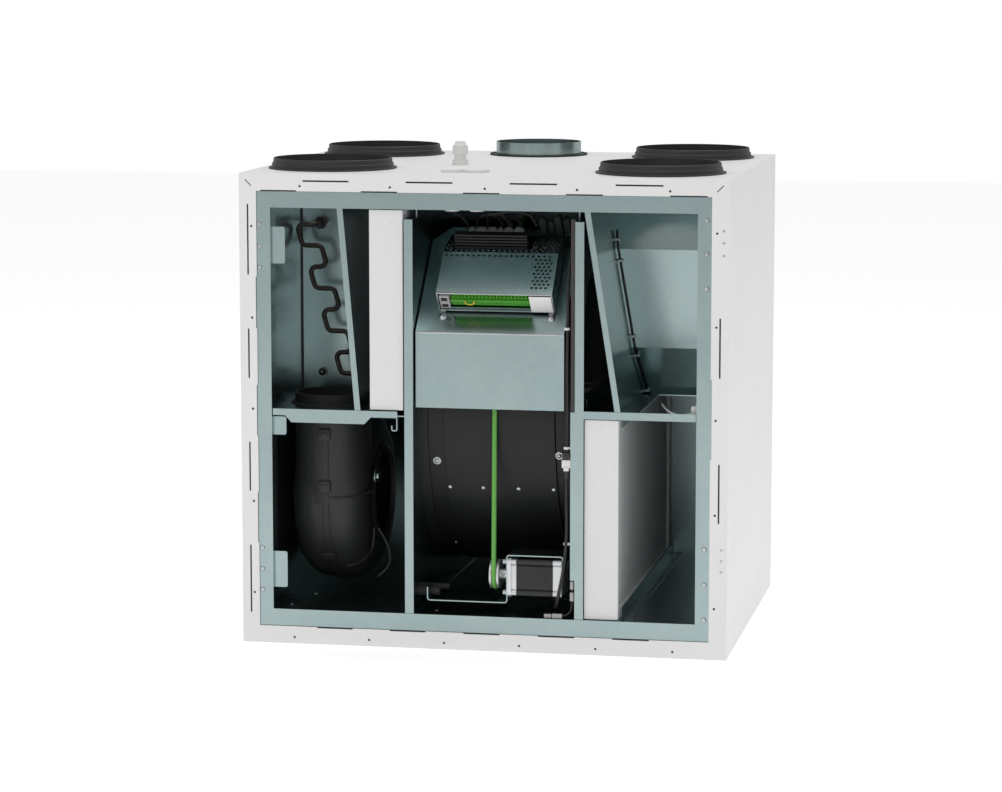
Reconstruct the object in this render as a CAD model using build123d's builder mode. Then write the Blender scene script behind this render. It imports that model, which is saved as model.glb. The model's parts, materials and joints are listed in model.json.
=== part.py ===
"""Heat recovery unit with a rotary wheel, front door taken off.

Frame: +X to the right, +Y to the back, +Z up.  The origin is the centre of the casing's base.
All sizes are in millimetres.
"""
from build123d import *
import math
import os

os.makedirs("parts", exist_ok=True)

# ---------------------------------------------------------------- driving dimensions
casing_width = 670
casing_depth = 545
casing_height = 647
sheet = 1.2                       # steel sheet of casing and liner
side_wall = 35                    # outer face to liner face
back_wall = 20
top_wall = 45
base_wall = 46
flange_width = 24                 # white return flange round the front
frame_width = 20                  # galvanised frame inside that flange
frame_setback = 2                 # frame face behind the flange's face
frame_lip = 25                    # depth of the frame's returns
frame_gap = 0.5

rotor_radius = 243
rotor_left = -58                  # faces of the wheel along X
rotor_right = 95
rotor_height = 325                # wheel axis above the base
band_thickness = 1.5
shaft_radius = 12
running_clearance = 0.05

belt_radius = 3.3
belt_gap = 0.3                    # between the belt and what it runs on
belt_x = 13.5
pulley_pitch_radius = 18
motor_setback = 36                # motor axis behind the front face
motor_height = 101
motor_size = 53
motor_front = 34
motor_length = 74.5
motor_shaft_radius = 3.175

duct_bore = 80.15                 # inside radius of the four main collars
duct_wall = 1.95
duct_rim_height = 14.8
duct_flange_radius = 88.8
spigot_radius = 62.3
spigot_height = 19.8
spigot_flange = 5                 # how far the spigot's flange stands out
seal_gap = 0.1
seal_width = 4.3
seal_height = 2.4
hole_clearance = 0.3

partition_thickness = 12
left_partition_x = -107           # left face of each partition
right_partition_x = 127.4
plate = 1.5                       # partitions, shelves, baffles and brackets
left_shelf_top = 320
right_shelf_top = 323.5
left_divider_setback = 205
right_baffle_depth = 275          # it runs on behind the folded wall's foot

scroll_radius = 122
scroll_width = 108
scroll_wall = 2.5
outlet_radius = 53
fan_inlet_radius = 62
impeller_radius = 76
impeller_width = 56
impeller_eye_radius = 59
impeller_hub_radius = 26
blade_count = 24
fan_shaft_radius = 6
fan_motor_radius = 34
fan_motor_seat_radius = 18

# ---------------------------------------------------------------- values worked out from them
half_width = casing_width / 2
half_depth = casing_depth / 2
front = -half_depth
cavity_x = half_width - side_wall
cavity_back = half_depth - back_wall
ceiling = casing_height - top_wall
floor = base_wall
opening_x = half_width - flange_width + 1          # outer edge of the galvanised frame
opening_top = casing_height - flange_width
post_x = opening_x - frame_width                   # inner edge of its posts
frame_face = front + frame_setback
liner_front = frame_face + plate + frame_gap

duct_centres = {
    "front_left": (-234, front + 125),
    "rear_left": (-235, front + 451),
    "front_right": (227, front + 108),
    "rear_right": (225, front + 449),
}
spigot_centre = (-7, front + 473)
gland_centre = (-73, front + 219)
plug_centres = ((-54, front + 70, 15.5), (-20, front + 72, 17.5))
plug_shank_radius = 10
gland_shank_radius = 8

motor_y = front + motor_setback
motor_axis = (motor_y, motor_height)               # its (y, z)
fan_outlet = (-236, front + 126)
exhaust_outlet = duct_centres["rear_right"]
supply_axis = (fan_outlet[1] + scroll_radius - outlet_radius + 2, 183)
exhaust_axis = (exhaust_outlet[1] - scroll_radius + outlet_radius - 2, 450)


# ---------------------------------------------------------------- helpers
def block(x, y, z, mode=Mode.ADD):
    """Box that spans the given (low, high) pair on each axis."""
    with Locations((sum(x) / 2, sum(y) / 2, sum(z) / 2)):
        Box(x[1] - x[0], y[1] - y[0], z[1] - z[0], mode=mode)


def rod(centre, radius, length, axis="Z", mode=Mode.ADD):
    """Cylinder centred on a point, along one axis."""
    turn = {"X": (0, 90, 0), "Y": (90, 0, 0), "Z": (0, 0, 0)}[axis]
    with Locations(centre):
        Cylinder(radius, length, rotation=turn, mode=mode)


def span_rod(axis, start, end, at, radius, mode=Mode.ADD):
    """Cylinder from start to end along an axis; at gives its other two coordinates in order."""
    middle = (start + end) / 2
    centre = {"X": (middle, *at), "Y": (at[0], middle, at[1]), "Z": (*at, middle)}[axis]
    rod(centre, radius, end - start, axis, mode)


def front_outline(points, face, thickness, mode=Mode.ADD):
    """Sheet outline drawn as (x, z) points on the plane y = face, made thick towards the back."""
    with BuildSketch(Plane.XZ.offset(-face)) as outline:
        with BuildLine():
            Polyline(*points, close=True)
        make_face()
    extrude(outline.sketch, amount=-thickness, mode=mode)


def bent_strip(plane, points, radius, thickness, width):
    """Folded sheet: a bent centre line drawn on the plane, made wide along its normal."""
    with BuildSketch(plane) as section:
        with BuildLine():
            FilletPolyline(*points, radius=radius)
        trace(line_width=thickness)
    extrude(section.sketch, amount=width)


def bend_radii(points):
    """The largest easy bend for each corner of a cable's route."""
    corners = []
    for before, corner, after in zip(points, points[1:], points[2:]):
        run_in = Vector(*corner) - Vector(*before)
        run_out = Vector(*after) - Vector(*corner)
        half_turn = math.radians(run_in.get_angle(run_out)) / 2
        corners.append(0.45 * min(run_in.length, run_out.length) / math.tan(half_turn))
    return corners


def cable(points, radius):
    """Round tube along straight runs joined by tangent arcs."""
    radii = bend_radii(points)
    with BuildLine() as route:
        FilletPolyline(*points, radius=radii)
    path = route.wire()
    with BuildSketch(Plane(origin=path @ 0, z_dir=path % 0)) as section:
        Circle(radius)
    sweep(section.sketch, path=path)
    print("cable", round(path.length, 1), "mm long, bends", [round(r, 1) for r in radii])


def save(piece, name):
    piece.part.label = name
    export_step(piece.part, f"parts/{name}.step")


# ---------------------------------------------------------------- white outer casing
def cut_slot(x, z):
    """Perforation slot through a front flange."""
    block(x, (front - 1, front + sheet + 1), z, Mode.SUBTRACT)


def cut_roof_holes(z):
    """Holes in the roof for the ducts, the gland and the two plugs."""
    for centre in duct_centres.values():
        span_rod("Z", *z, centre, duct_bore + duct_wall + hole_clearance, Mode.SUBTRACT)
    span_rod("Z", *z, spigot_centre, spigot_radius + hole_clearance, Mode.SUBTRACT)
    span_rod("Z", *z, gland_centre, gland_shank_radius + hole_clearance, Mode.SUBTRACT)
    for x, y, _ in plug_centres:
        span_rod("Z", *z, (x, y), plug_shank_radius + hole_clearance, Mode.SUBTRACT)


inner_x = half_width - flange_width
inner_top = casing_height - flange_width
slot_width = 2.2
notch_depth = 1.5
top_corner = half_width - sheet

with BuildPart() as outer_top_panel:
    block((-half_width, half_width), (front, half_depth), (casing_height - sheet, casing_height))
    front_outline([(-half_width, casing_height), (half_width, casing_height),
                   (inner_x, inner_top), (-inner_x, inner_top)], front, sheet)
    cut_roof_holes((casing_height - 5, casing_height + 5))
    for slot_x in (-214, -71, 71, 214):
        cut_slot((slot_x - 32, slot_x + 32), (casing_height - 11, casing_height - 11 + slot_width))
    for notch_x in (-280, -140, 0, 140, 280):
        cut_slot((notch_x - 25, notch_x + 25), (inner_top - 1, inner_top + notch_depth))
save(outer_top_panel, "outer_top_panel")

with BuildPart() as outer_bottom_panel:
    block((-half_width, half_width), (front, half_depth), (0, sheet))
    front_outline([(-half_width, 0), (half_width, 0),
                   (inner_x, flange_width), (-inner_x, flange_width)], front, sheet)
    for notch_x in (-205, -103, 0, 103, 205):
        cut_slot((notch_x - 25, notch_x + 25), (flange_width - notch_depth, flange_width + 1))
save(outer_bottom_panel, "outer_bottom_panel")


def side_panel(side, slots, notches):
    """Side sheet and its mitred front flange; slots and notches are (height, length) pairs."""
    edge = side * half_width
    inside = side * top_corner
    low, high = sheet, casing_height - sheet
    block(sorted((edge, inside)), (front, half_depth), (low, high))
    front_outline([(edge, low), (edge, high), (inside, high), (side * inner_x, inner_top),
                   (side * inner_x, flange_width), (inside, low)], front, sheet)
    slot_x = side * (half_width - 12)
    for height, length in slots:
        cut_slot((slot_x - slot_width / 2, slot_x + slot_width / 2),
                 (height - length / 2, height + length / 2))
    for height, length in notches:
        cut_slot(sorted((side * (inner_x - 1), side * (inner_x + notch_depth))),
                 (height - length / 2, height + length / 2))


with BuildPart() as outer_left_panel:
    side_panel(-1, ((89, 94), (245, 68), (401, 68), (557, 96)), ((175, 70), (323, 70), (471, 70)))
save(outer_left_panel, "outer_left_panel")

with BuildPart() as outer_right_panel:
    side_panel(1, ((226, 80), (422, 80)), ((326, 108),))
save(outer_right_panel, "outer_right_panel")

with BuildPart() as outer_back_panel:
    block((-top_corner, top_corner), (half_depth - sheet, half_depth),
          (sheet, casing_height - sheet))
save(outer_back_panel, "outer_back_panel")

# ---------------------------------------------------------------- insulation and galvanised liner
liner_reach = half_depth - 2.5                     # the roof and floor liners pass under the back
board_x = top_corner
board_back = half_depth - sheet

with BuildPart() as insulation_boards:
    block((-board_x, board_x), (liner_front, board_back), (ceiling + sheet, casing_height - sheet))
    block((-board_x, board_x), (liner_front, board_back), (sheet, floor - sheet))
    for side in (-1, 1):
        block(sorted((side * board_x, side * (cavity_x + sheet))), (liner_front, board_back),
              (floor, ceiling))
    block((-cavity_x, cavity_x), (cavity_back + sheet, board_back), (floor, ceiling))
    cut_roof_holes((ceiling, casing_height))
save(insulation_boards, "insulation_boards")

with BuildPart() as liner_top:
    block((-cavity_x - sheet, cavity_x + sheet), (liner_front, liner_reach),
          (ceiling, ceiling + sheet))
    cut_roof_holes((ceiling - 5, ceiling + 5))
save(liner_top, "liner_top")

with BuildPart() as liner_bottom:
    block((-cavity_x - sheet, cavity_x + sheet), (liner_front, liner_reach),
          (floor - sheet, floor))
save(liner_bottom, "liner_bottom")

with BuildPart() as liner_sides:
    for side in (-1, 1):
        block(sorted((side * cavity_x, side * (cavity_x + sheet))),
              (liner_front, cavity_back + sheet), (floor, ceiling))
save(liner_sides, "liner_sides")

with BuildPart() as liner_back:
    block((-cavity_x, cavity_x), (cavity_back, cavity_back + sheet), (floor, ceiling))
save(liner_back, "liner_back")

# ---------------------------------------------------------------- galvanised front frame
rail_face = (frame_face, frame_face + plate)
rail_return = (frame_face, frame_face + frame_lip)
rail_low_top = floor + plate
rail_high_bottom = ceiling - plate

with BuildPart() as frame_rails:
    block((-opening_x, opening_x), rail_face, (rail_high_bottom, opening_top - frame_gap))
    block((-cavity_x, cavity_x), rail_return, (rail_high_bottom, ceiling))
    block((-post_x, post_x), rail_face, (flange_width + frame_gap, rail_low_top))
    block((-post_x, post_x), rail_return, (floor, rail_low_top))
save(frame_rails, "frame_rails")


def frame_post(side):
    """Upright with a return lip along the opening."""
    block(sorted((side * opening_x, side * post_x)), rail_face,
          (flange_width + frame_gap, rail_high_bottom))
    block(sorted((side * post_x, side * (post_x + plate))), rail_return,
          (rail_low_top, rail_high_bottom))


door_tab_x = (-post_x, -post_x + 18.7)
door_tab_face = (frame_face + 6, frame_face + 6 + plate)
door_tab_corner = 3

with BuildPart() as frame_left_post:
    frame_post(-1)
    for tab_z in ((77, 127), (289, 314), (524, 574)):
        with BuildSketch(Plane.XZ.offset(-door_tab_face[0])) as tab:
            with Locations((sum(door_tab_x) / 2, sum(tab_z) / 2)):
                Rectangle(door_tab_x[1] - door_tab_x[0], tab_z[1] - tab_z[0])
            fillet(tab.vertices().group_by(Axis.X)[-1], door_tab_corner)
        extrude(tab.sketch, amount=-plate)
save(frame_left_post, "frame_left_post")

with BuildPart() as frame_right_post:
    frame_post(1)
save(frame_right_post, "frame_right_post")

# ---------------------------------------------------------------- partitions beside the wheel
window_radius = 236
beam_half_height = 20
partition_front = frame_face + plate
notch_top = 587


def partition(sheet_x, flange_x):
    """Upright plate with the wheel's window, a shaft beam across it and a front flange."""
    block(sheet_x, (partition_front, cavity_back), (floor + plate, ceiling - plate))
    block(flange_x, (partition_front, partition_front + plate), (floor + plate, ceiling - plate))
    middle = sum(sheet_x) / 2
    rod((middle, 0, rotor_height), window_radius, 3 * plate, "X", Mode.SUBTRACT)
    block((sheet_x[0] - 50, sheet_x[1] + 50), (partition_front - 1, partition_front + 30),
          (notch_top, ceiling + 5), Mode.SUBTRACT)
    block(flange_x, (-window_radius - 3, window_radius + 3),
          (rotor_height - beam_half_height, rotor_height + beam_half_height))
    hollow = sorted((flange_x[0] + plate if flange_x[0] < sheet_x[0] else sheet_x[1],
                     sheet_x[0] if flange_x[0] < sheet_x[0] else flange_x[1] - plate))
    block(hollow, (-window_radius - 10, window_radius + 10),
          (rotor_height - beam_half_height + plate, rotor_height + beam_half_height - plate),
          Mode.SUBTRACT)
    rod((sum(flange_x) / 2, 0, rotor_height), shaft_radius, 2 * partition_thickness, "X",
        Mode.SUBTRACT)


left_sheet = (left_partition_x + partition_thickness - plate, left_partition_x + partition_thickness)
with BuildPart() as left_partition:
    partition(left_sheet, (left_partition_x, left_partition_x + partition_thickness))
save(left_partition, "left_partition")

right_sheet = (right_partition_x, right_partition_x + plate)
with BuildPart() as right_partition:
    partition(right_sheet, (right_partition_x, right_partition_x + partition_thickness))
    block((right_partition_x - 7, right_partition_x), (partition_front + 6, partition_front + 6 + plate),
          (100, 330))
save(right_partition, "right_partition")

# ---------------------------------------------------------------- shelves, baffles and dividers
left_shelf_x = (-cavity_x, left_partition_x)

with BuildPart() as left_shelf:
    block(left_shelf_x, (partition_front, cavity_back), (left_shelf_top - plate, left_shelf_top))
    front_outline([(-post_x + 1, 325.5), (-117, 325.5), (-117, 316.5), (-154, 316.5), (-163, 307),
                   (-265, 307), (-274, 316.5), (-post_x + 1, 316.5)], partition_front, plate)
    span_rod("Z", left_shelf_top - 5, left_shelf_top + 5, fan_outlet,
             outlet_radius + hole_clearance, Mode.SUBTRACT)
    block((-post_x - 20, -post_x + 1), (partition_front - 1, frame_face + frame_lip + 1),
          (left_shelf_top - 5, left_shelf_top + 5), Mode.SUBTRACT)
    bent_strip(Plane.XZ.offset(-partition_front - 10), [(-118, 319.5), (-118, 299), (-125, 299), (-125, 306)],
               2, plate, 8)
save(left_shelf, "left_shelf")

right_shelf_x = (right_partition_x + partition_thickness, cavity_x)
shelf_opening_x = (205, 288)
shelf_opening_y = (front + 15, front + 260)

with BuildPart() as right_shelf:
    block(right_shelf_x, (partition_front, cavity_back), (right_shelf_top - plate, right_shelf_top))
    block((right_shelf_x[0], post_x - 1), (partition_front, partition_front + plate),
          (right_shelf_top - plate, 332.4))
    block(shelf_opening_x, shelf_opening_y, (right_shelf_top - 5, right_shelf_top + 5), Mode.SUBTRACT)
    block((post_x - 1, post_x + 20), (partition_front - 1, frame_face + frame_lip + 1),
          (right_shelf_top - 5, right_shelf_top + 5), Mode.SUBTRACT)
save(right_shelf, "right_shelf")


def baffle(top_x, bottom_x, bottom_z, depth):
    """Leaning plate from the ceiling to a shelf, with a hem on its front edge."""
    hem = 8
    reach = front + depth - partition_front
    front_outline([(top_x, ceiling - plate), (top_x + plate, ceiling - plate),
                   (bottom_x + plate, bottom_z), (bottom_x, bottom_z)],
                  partition_front + plate, reach - plate)
    front_outline([(top_x, ceiling - plate), (top_x + hem, ceiling - plate),
                   (bottom_x + hem, bottom_z), (bottom_x, bottom_z)], partition_front + plate, plate)


left_baffle_top, left_baffle_bottom = -200, -176
right_baffle_top, right_baffle_bottom = 139.5, 182.5

with BuildPart() as chamber_baffles:
    baffle(left_baffle_top, left_baffle_bottom, left_shelf_top, left_divider_setback)
    baffle(right_baffle_top, right_baffle_bottom, right_shelf_top, right_baffle_depth)
save(chamber_baffles, "chamber_baffles")

# the right wall's front face as (y, z): ceiling, two folds, foot
right_wall_profile = [(front + 236, ceiling), (front + 201, 534), (front + 216, 395),
                      (front + 270, right_shelf_top)]

with BuildPart() as chamber_dividers:
    front_outline([(-cavity_x, left_shelf_top), (-cavity_x, ceiling),
                   (left_baffle_top + plate, ceiling), (left_baffle_bottom + plate, left_shelf_top)],
                  front + left_divider_setback, plate)
    with BuildSketch(Plane.YZ.offset(right_baffle_top)) as folded_wall:
        with BuildLine():
            Polyline(*right_wall_profile, *[(y + plate, z) for y, z in reversed(right_wall_profile)],
                     close=True)
        make_face()
    extrude(folded_wall.sketch, amount=cavity_x - right_baffle_top)
    baffle_top_edge = (right_baffle_top + plate, ceiling - plate)
    baffle_foot_edge = (right_baffle_bottom + plate, right_shelf_top)
    front_outline([baffle_top_edge, baffle_foot_edge, (right_baffle_top - 1, right_shelf_top),
                   (right_baffle_top - 1, ceiling), (baffle_top_edge[0], ceiling)],
                  front, casing_depth, Mode.SUBTRACT)
save(chamber_dividers, "chamber_dividers")

# ---------------------------------------------------------------- filters and their rails
filter_thickness = 46
outdoor_filter_x = (right_shelf_x[0] + 0.8, right_shelf_x[0] + 0.8 + filter_thickness)
extract_filter_x = (left_partition_x - 2.5 - filter_thickness, left_partition_x - 2.5)
filter_y = (front + 7, front + 515)
pleat_border = 12
pleat_depth = 4


def filter_panel(x, z):
    """Panel filter: a fibre board frame with a recessed face of folded medium on both sides."""
    block(x, filter_y, z)
    for face, inward in ((x[0], 1), (x[1], -1)):
        recess = sorted((face - inward, face + inward * pleat_depth))
        block(recess, (filter_y[0] + pleat_border, filter_y[1] - pleat_border),
              (z[0] + pleat_border, z[1] - pleat_border), Mode.SUBTRACT)


with BuildPart() as extract_filter:
    filter_panel(extract_filter_x, (327, 599))
save(extract_filter, "extract_filter")

with BuildPart() as outdoor_filter:
    filter_panel(outdoor_filter_x, (48.5, 320.5))
save(outdoor_filter, "outdoor_filter")

rail_x = outdoor_filter_x[1] + 1
rail_y = (front + 27, front + 518)
rail_height = 15


def cut_cross(y, z, arm, across):
    """Cross-shaped hole punched through an upright plate."""
    block((rail_x - 5, rail_x + 5), (y - arm, y + arm), (z - across, z + across), Mode.SUBTRACT)
    block((rail_x - 5, rail_x + 5), (y - across, y + across), (z - arm, z + arm), Mode.SUBTRACT)


with BuildPart() as filter_rails:
    block((rail_x, rail_x + plate), rail_y, (floor, floor + rail_height))
    block((rail_x, rail_x + 16), rail_y, (floor, floor + plate))
    for cross_y in (rail_y[0] + 14, rail_y[0] + 60, rail_y[1] - 60, rail_y[1] - 14):
        cut_cross(cross_y, floor + 8, 3.5, 1.2)
    block((rail_x, rail_x + plate), rail_y, (right_shelf_top - plate - 14, right_shelf_top - plate))
    clip_x = extract_filter_x[0] - 1
    for clip_z in ((left_shelf_top, left_shelf_top + 14), (ceiling - 14, ceiling)):
        block((clip_x - plate, clip_x), rail_y, clip_z)
save(filter_rails, "filter_rails")

# ---------------------------------------------------------------- duct connections on the roof
roof = casing_height
tube_bottom = ceiling + sheet + 0.2

for name, centre in duct_centres.items():
    with BuildPart() as duct_collar:
        outer = duct_bore + duct_wall
        with BuildSketch(Plane.XZ):
            with BuildLine():
                Polyline((duct_bore, tube_bottom), (outer, tube_bottom), (outer, roof),
                         (duct_flange_radius, roof), (duct_flange_radius, roof + 1.8),
                         (outer + 2.2, roof + 3.2), (outer + 2.2, roof + 7.4), (outer + 0.6, roof + 8.4),
                         (outer, roof + duct_rim_height - 0.8), (outer - 0.8, roof + duct_rim_height),
                         (duct_bore, roof + duct_rim_height), close=True)
            make_face()
        revolve(axis=Axis.Z)
    duct_collar.part.location = Location((*centre, 0))
    save(duct_collar, f"duct_collar_{name}")

with BuildPart() as centre_spigot:
    inner = spigot_radius - 1
    with BuildSketch(Plane.XZ):
        with BuildLine():
            Polyline((inner, tube_bottom), (spigot_radius, tube_bottom), (spigot_radius, roof),
                     (spigot_radius + spigot_flange, roof), (spigot_radius + spigot_flange, roof + 1),
                     (spigot_radius, roof + 1.6), (spigot_radius, roof + spigot_height),
                     (inner, roof + spigot_height), close=True)
        make_face()
    revolve(axis=Axis.Z)
centre_spigot.part.location = Location((*spigot_centre, 0))
save(centre_spigot, "centre_spigot")

with BuildPart() as spigot_seal:
    with BuildSketch(Plane.XY.offset(roof)):
        Circle(spigot_radius + spigot_flange + seal_gap + seal_width)
        Circle(spigot_radius + spigot_flange + seal_gap, mode=Mode.SUBTRACT)
    extrude(amount=seal_height)
spigot_seal.part.location = Location((*spigot_centre, 0))
save(spigot_seal, "spigot_seal")

gland_bore = 4.5
with BuildPart() as cable_gland:
    with BuildSketch(Plane.XY.offset(roof)):
        RegularPolygon(11.5, 6)
    extrude(amount=7)
    span_rod("Z", roof + 7, roof + 15, (0, 0), 8.5)
    with BuildSketch(Plane.XY.offset(roof + 15)):
        RegularPolygon(11, 6)
    extrude(amount=12)
    with BuildSketch(Plane.XY.offset(roof + 27)):
        Circle(9.5)
    extrude(amount=6, taper=25)
    span_rod("Z", ceiling - 8, roof, (0, 0), gland_shank_radius)
    with BuildSketch(Plane.XY.offset(ceiling - 7)):
        RegularPolygon(12, 6)
    extrude(amount=7)
    span_rod("Z", ceiling - 20, roof + 40, (0, 0), gland_bore, Mode.SUBTRACT)
cable_gland.part.location = Location((*gland_centre, 0))
save(cable_gland, "cable_gland")

with BuildPart() as blanking_plugs:
    for x, y, cap_radius in plug_centres:
        span_rod("Z", roof, roof + 3.5, (x, y), cap_radius)
        span_rod("Z", ceiling - 8, roof, (x, y), plug_shank_radius)
        span_rod("Z", ceiling - 6, ceiling, (x, y), cap_radius - 1.5)
save(blanking_plugs, "blanking_plugs")

# ---------------------------------------------------------------- rotary wheel
wheel_centre = (0, rotor_height)                   # its (y, z)
bearing_radius = 23.5
hub_radius = 30
bearing_width = 14
shroud_radius = 240
shroud_gap = 1                                     # wheel face to shroud

with BuildPart() as wheel_shrouds:
    span_rod("X", left_sheet[1], rotor_left - shroud_gap, wheel_centre, shroud_radius)
    span_rod("X", left_sheet[1], left_sheet[1] + 14, wheel_centre, shroud_radius + 3)
    span_rod("X", rotor_right + shroud_gap, right_sheet[0], wheel_centre, shroud_radius)
    span_rod("X", right_sheet[0] - 14, right_sheet[0], wheel_centre, shroud_radius + 3)
    span_rod("X", left_sheet[1] - 1, right_sheet[0] + 1, wheel_centre, window_radius, Mode.SUBTRACT)
save(wheel_shrouds, "wheel_shrouds")

with BuildPart() as rotor_shaft:
    span_rod("X", left_partition_x + 0.5, right_partition_x + partition_thickness - 0.5,
             wheel_centre, shaft_radius)
    chamfer(rotor_shaft.edges().filter_by(GeomType.CIRCLE), 1)
save(rotor_shaft, "rotor_shaft")

with BuildPart() as rotor_hub:
    span_rod("X", rotor_left, rotor_right, wheel_centre, hub_radius)
    span_rod("X", rotor_left, rotor_right, wheel_centre, shaft_radius + 3, Mode.SUBTRACT)
    for seat in ((rotor_left, rotor_left + bearing_width), (rotor_right - bearing_width, rotor_right)):
        span_rod("X", *seat, wheel_centre, bearing_radius, Mode.SUBTRACT)
save(rotor_hub, "rotor_hub")

with BuildPart() as rotor_bearings:
    for seat in ((rotor_left, rotor_left + bearing_width), (rotor_right - bearing_width, rotor_right)):
        span_rod("X", *seat, wheel_centre, bearing_radius)
        span_rod("X", *seat, wheel_centre, shaft_radius + running_clearance, Mode.SUBTRACT)
save(rotor_bearings, "rotor_bearings")

with BuildPart() as rotor_matrix:
    matrix_x = (rotor_left + 2, rotor_right - 2)
    span_rod("X", *matrix_x, wheel_centre, rotor_radius - band_thickness)
    span_rod("X", *matrix_x, wheel_centre, hub_radius, Mode.SUBTRACT)
save(rotor_matrix, "rotor_matrix")

rivet_drop = 109                                   # lap rivets below the wheel's axis at rest
rivet_angle = math.degrees(math.asin(rivet_drop / rotor_radius))

with BuildPart() as rotor_band:
    span_rod("X", rotor_left, rotor_right, wheel_centre, rotor_radius)
    span_rod("X", rotor_left - 1, rotor_right + 1, wheel_centre, rotor_radius - band_thickness,
             Mode.SUBTRACT)
    outward = Vector(0, -math.cos(math.radians(rivet_angle)), -math.sin(math.radians(rivet_angle)))
    for rivet_x in (-54.5, -8, 41, 90):
        foot = Vector(rivet_x, 0, rotor_height) + outward * (rotor_radius - 0.7)
        with BuildSketch(Plane(origin=foot, z_dir=outward)):
            Circle(3)
        extrude(amount=1.9, taper=15)
save(rotor_band, "rotor_band")

# ---------------------------------------------------------------- belt drive
belt_path_radius = rotor_radius + belt_gap + belt_radius
drive_ratio = belt_path_radius / pulley_pitch_radius
pulley_centre = Vector(*motor_axis)
wheel_point = Vector(*wheel_centre)
pull = pulley_centre - wheel_point
centre_angle = math.degrees(math.atan2(pull.Y, pull.X))
wrap_angle = math.degrees(math.acos((belt_path_radius - pulley_pitch_radius) / pull.length))
front_tangent = centre_angle - wrap_angle
lower_tangent = centre_angle + wrap_angle

with BuildPart() as drive_belt:
    with BuildLine(Plane.YZ.offset(belt_x)) as belt_loop:
        over_wheel = CenterArc(wheel_centre, belt_path_radius, lower_tangent, 360 - 2 * wrap_angle)
        under_pulley = CenterArc((pulley_centre.X, pulley_centre.Y), pulley_pitch_radius,
                                 front_tangent, 2 * wrap_angle)
        Line(over_wheel @ 1, under_pulley @ 0)
        Line(under_pulley @ 1, over_wheel @ 0)
    with BuildSketch(Plane(origin=over_wheel @ 0, z_dir=over_wheel % 0)):
        Circle(belt_radius)
    sweep(path=belt_loop.wire())
save(drive_belt, "drive_belt")
print("belt", round(belt_loop.wire().length, 1), "mm round, drive ratio", round(drive_ratio, 4))

pulley_left = belt_x - 6.5
pulley_right = belt_x + 6.5
pulley_radius = pulley_pitch_radius + 1.6

with BuildPart() as drive_pulley:
    span_rod("X", pulley_left, pulley_right, motor_axis, pulley_radius)
    span_rod("X", pulley_right, pulley_right + 9, motor_axis, 7.5)
    with BuildSketch(Plane.XY.offset(motor_height)):
        with Locations((belt_x, motor_y + pulley_pitch_radius)):
            Circle(belt_radius + belt_gap)
        with Locations((belt_x, motor_y + pulley_pitch_radius + 5)):
            Rectangle(2 * (belt_radius + belt_gap), 10)
    revolve(axis=Axis((0, motor_y, motor_height), (1, 0, 0)), mode=Mode.SUBTRACT)
    span_rod("X", pulley_left - 1, pulley_right + 20, motor_axis, motor_shaft_radius, Mode.SUBTRACT)
save(drive_pulley, "drive_pulley")

motor_back = motor_front + motor_length
front_cap = (motor_front, motor_front + 12)
rear_cap = (motor_back - 12, motor_back)
bolt_pitch = motor_size / 2 - 5.2                  # from the axis to a bolt, along Y and Z
bolt_hole_radius = 2


def motor_square(x, size, cut):
    """Square slice of the motor with its corners cut off."""
    with BuildSketch(Plane.YZ.offset(x[0])) as slice_outline:
        with Locations(motor_axis):
            Rectangle(size, size)
        chamfer(slice_outline.vertices(), cut)
    extrude(slice_outline.sketch, amount=x[1] - x[0])


def motor_corners(x, radius, mode=Mode.ADD):
    """Four rods or holes on the motor's bolt square."""
    for dy in (-bolt_pitch, bolt_pitch):
        for dz in (-bolt_pitch, bolt_pitch):
            span_rod("X", *x, (motor_y + dy, motor_height + dz), radius, mode)


with BuildPart() as motor_end_caps:
    motor_square((motor_front, motor_front + 5), motor_size, 3)
    motor_square(front_cap, motor_size - 5, 8)
    motor_square(rear_cap, motor_size - 5, 8)
    motor_corners((motor_front + 4, front_cap[1]), 4.2)
    motor_corners(rear_cap, 4.2)
    motor_corners((motor_front - 1, motor_back + 1), bolt_hole_radius, Mode.SUBTRACT)
    span_rod("X", motor_front - 1, front_cap[1] + 1, motor_axis,
             motor_shaft_radius + running_clearance, Mode.SUBTRACT)
save(motor_end_caps, "motor_end_caps")

with BuildPart() as motor_stack:
    motor_square((front_cap[1], rear_cap[0]), motor_size - 4, 9)
    span_rod("X", front_cap[1] - 1, front_cap[1] + 20, motor_axis,
             motor_shaft_radius + running_clearance, Mode.SUBTRACT)
save(motor_stack, "motor_stack")

with BuildPart() as motor_shaft:
    span_rod("X", pulley_left, front_cap[1] + 18, motor_axis, motor_shaft_radius)
save(motor_shaft, "motor_shaft")

bracket_face = front + 10
upright_x = motor_front - plate / 2
bracket_left = -77
buffer_neck = 2.5
buffers = ((front + 30, 75, 6, -64), (front + 48, 78.5, 4, -54))     # y, z, radius, right end
with BuildPart() as motor_bracket:
    bent_strip(Plane.XZ.offset(-bracket_face),
               [(bracket_left, 84), (bracket_left, 66), (upright_x, 66), (upright_x, 131.5),
                (motor_back + 2, 131.5), (motor_back + 2, 124)], 3.5, plate, -52)
    span_rod("X", upright_x - 4, upright_x + 4, motor_axis, 14, Mode.SUBTRACT)
    motor_corners((upright_x - 4, upright_x + 4), bolt_hole_radius, Mode.SUBTRACT)
    for y, z, _, _ in buffers:
        span_rod("X", bracket_left - 4, bracket_left + 4, (y, z), buffer_neck + 0.1, Mode.SUBTRACT)
save(motor_bracket, "motor_bracket")

buffer_face = left_sheet[1]
with BuildPart() as rubber_buffers:
    for y, z, radius, end in buffers:
        span_rod("X", buffer_face, bracket_left - 1, (y, z), radius)
        span_rod("X", bracket_left + 1, end, (y, z), radius)
        span_rod("X", bracket_left - 2, bracket_left + 2, (y, z), buffer_neck)
save(rubber_buffers, "rubber_buffers")

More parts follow.
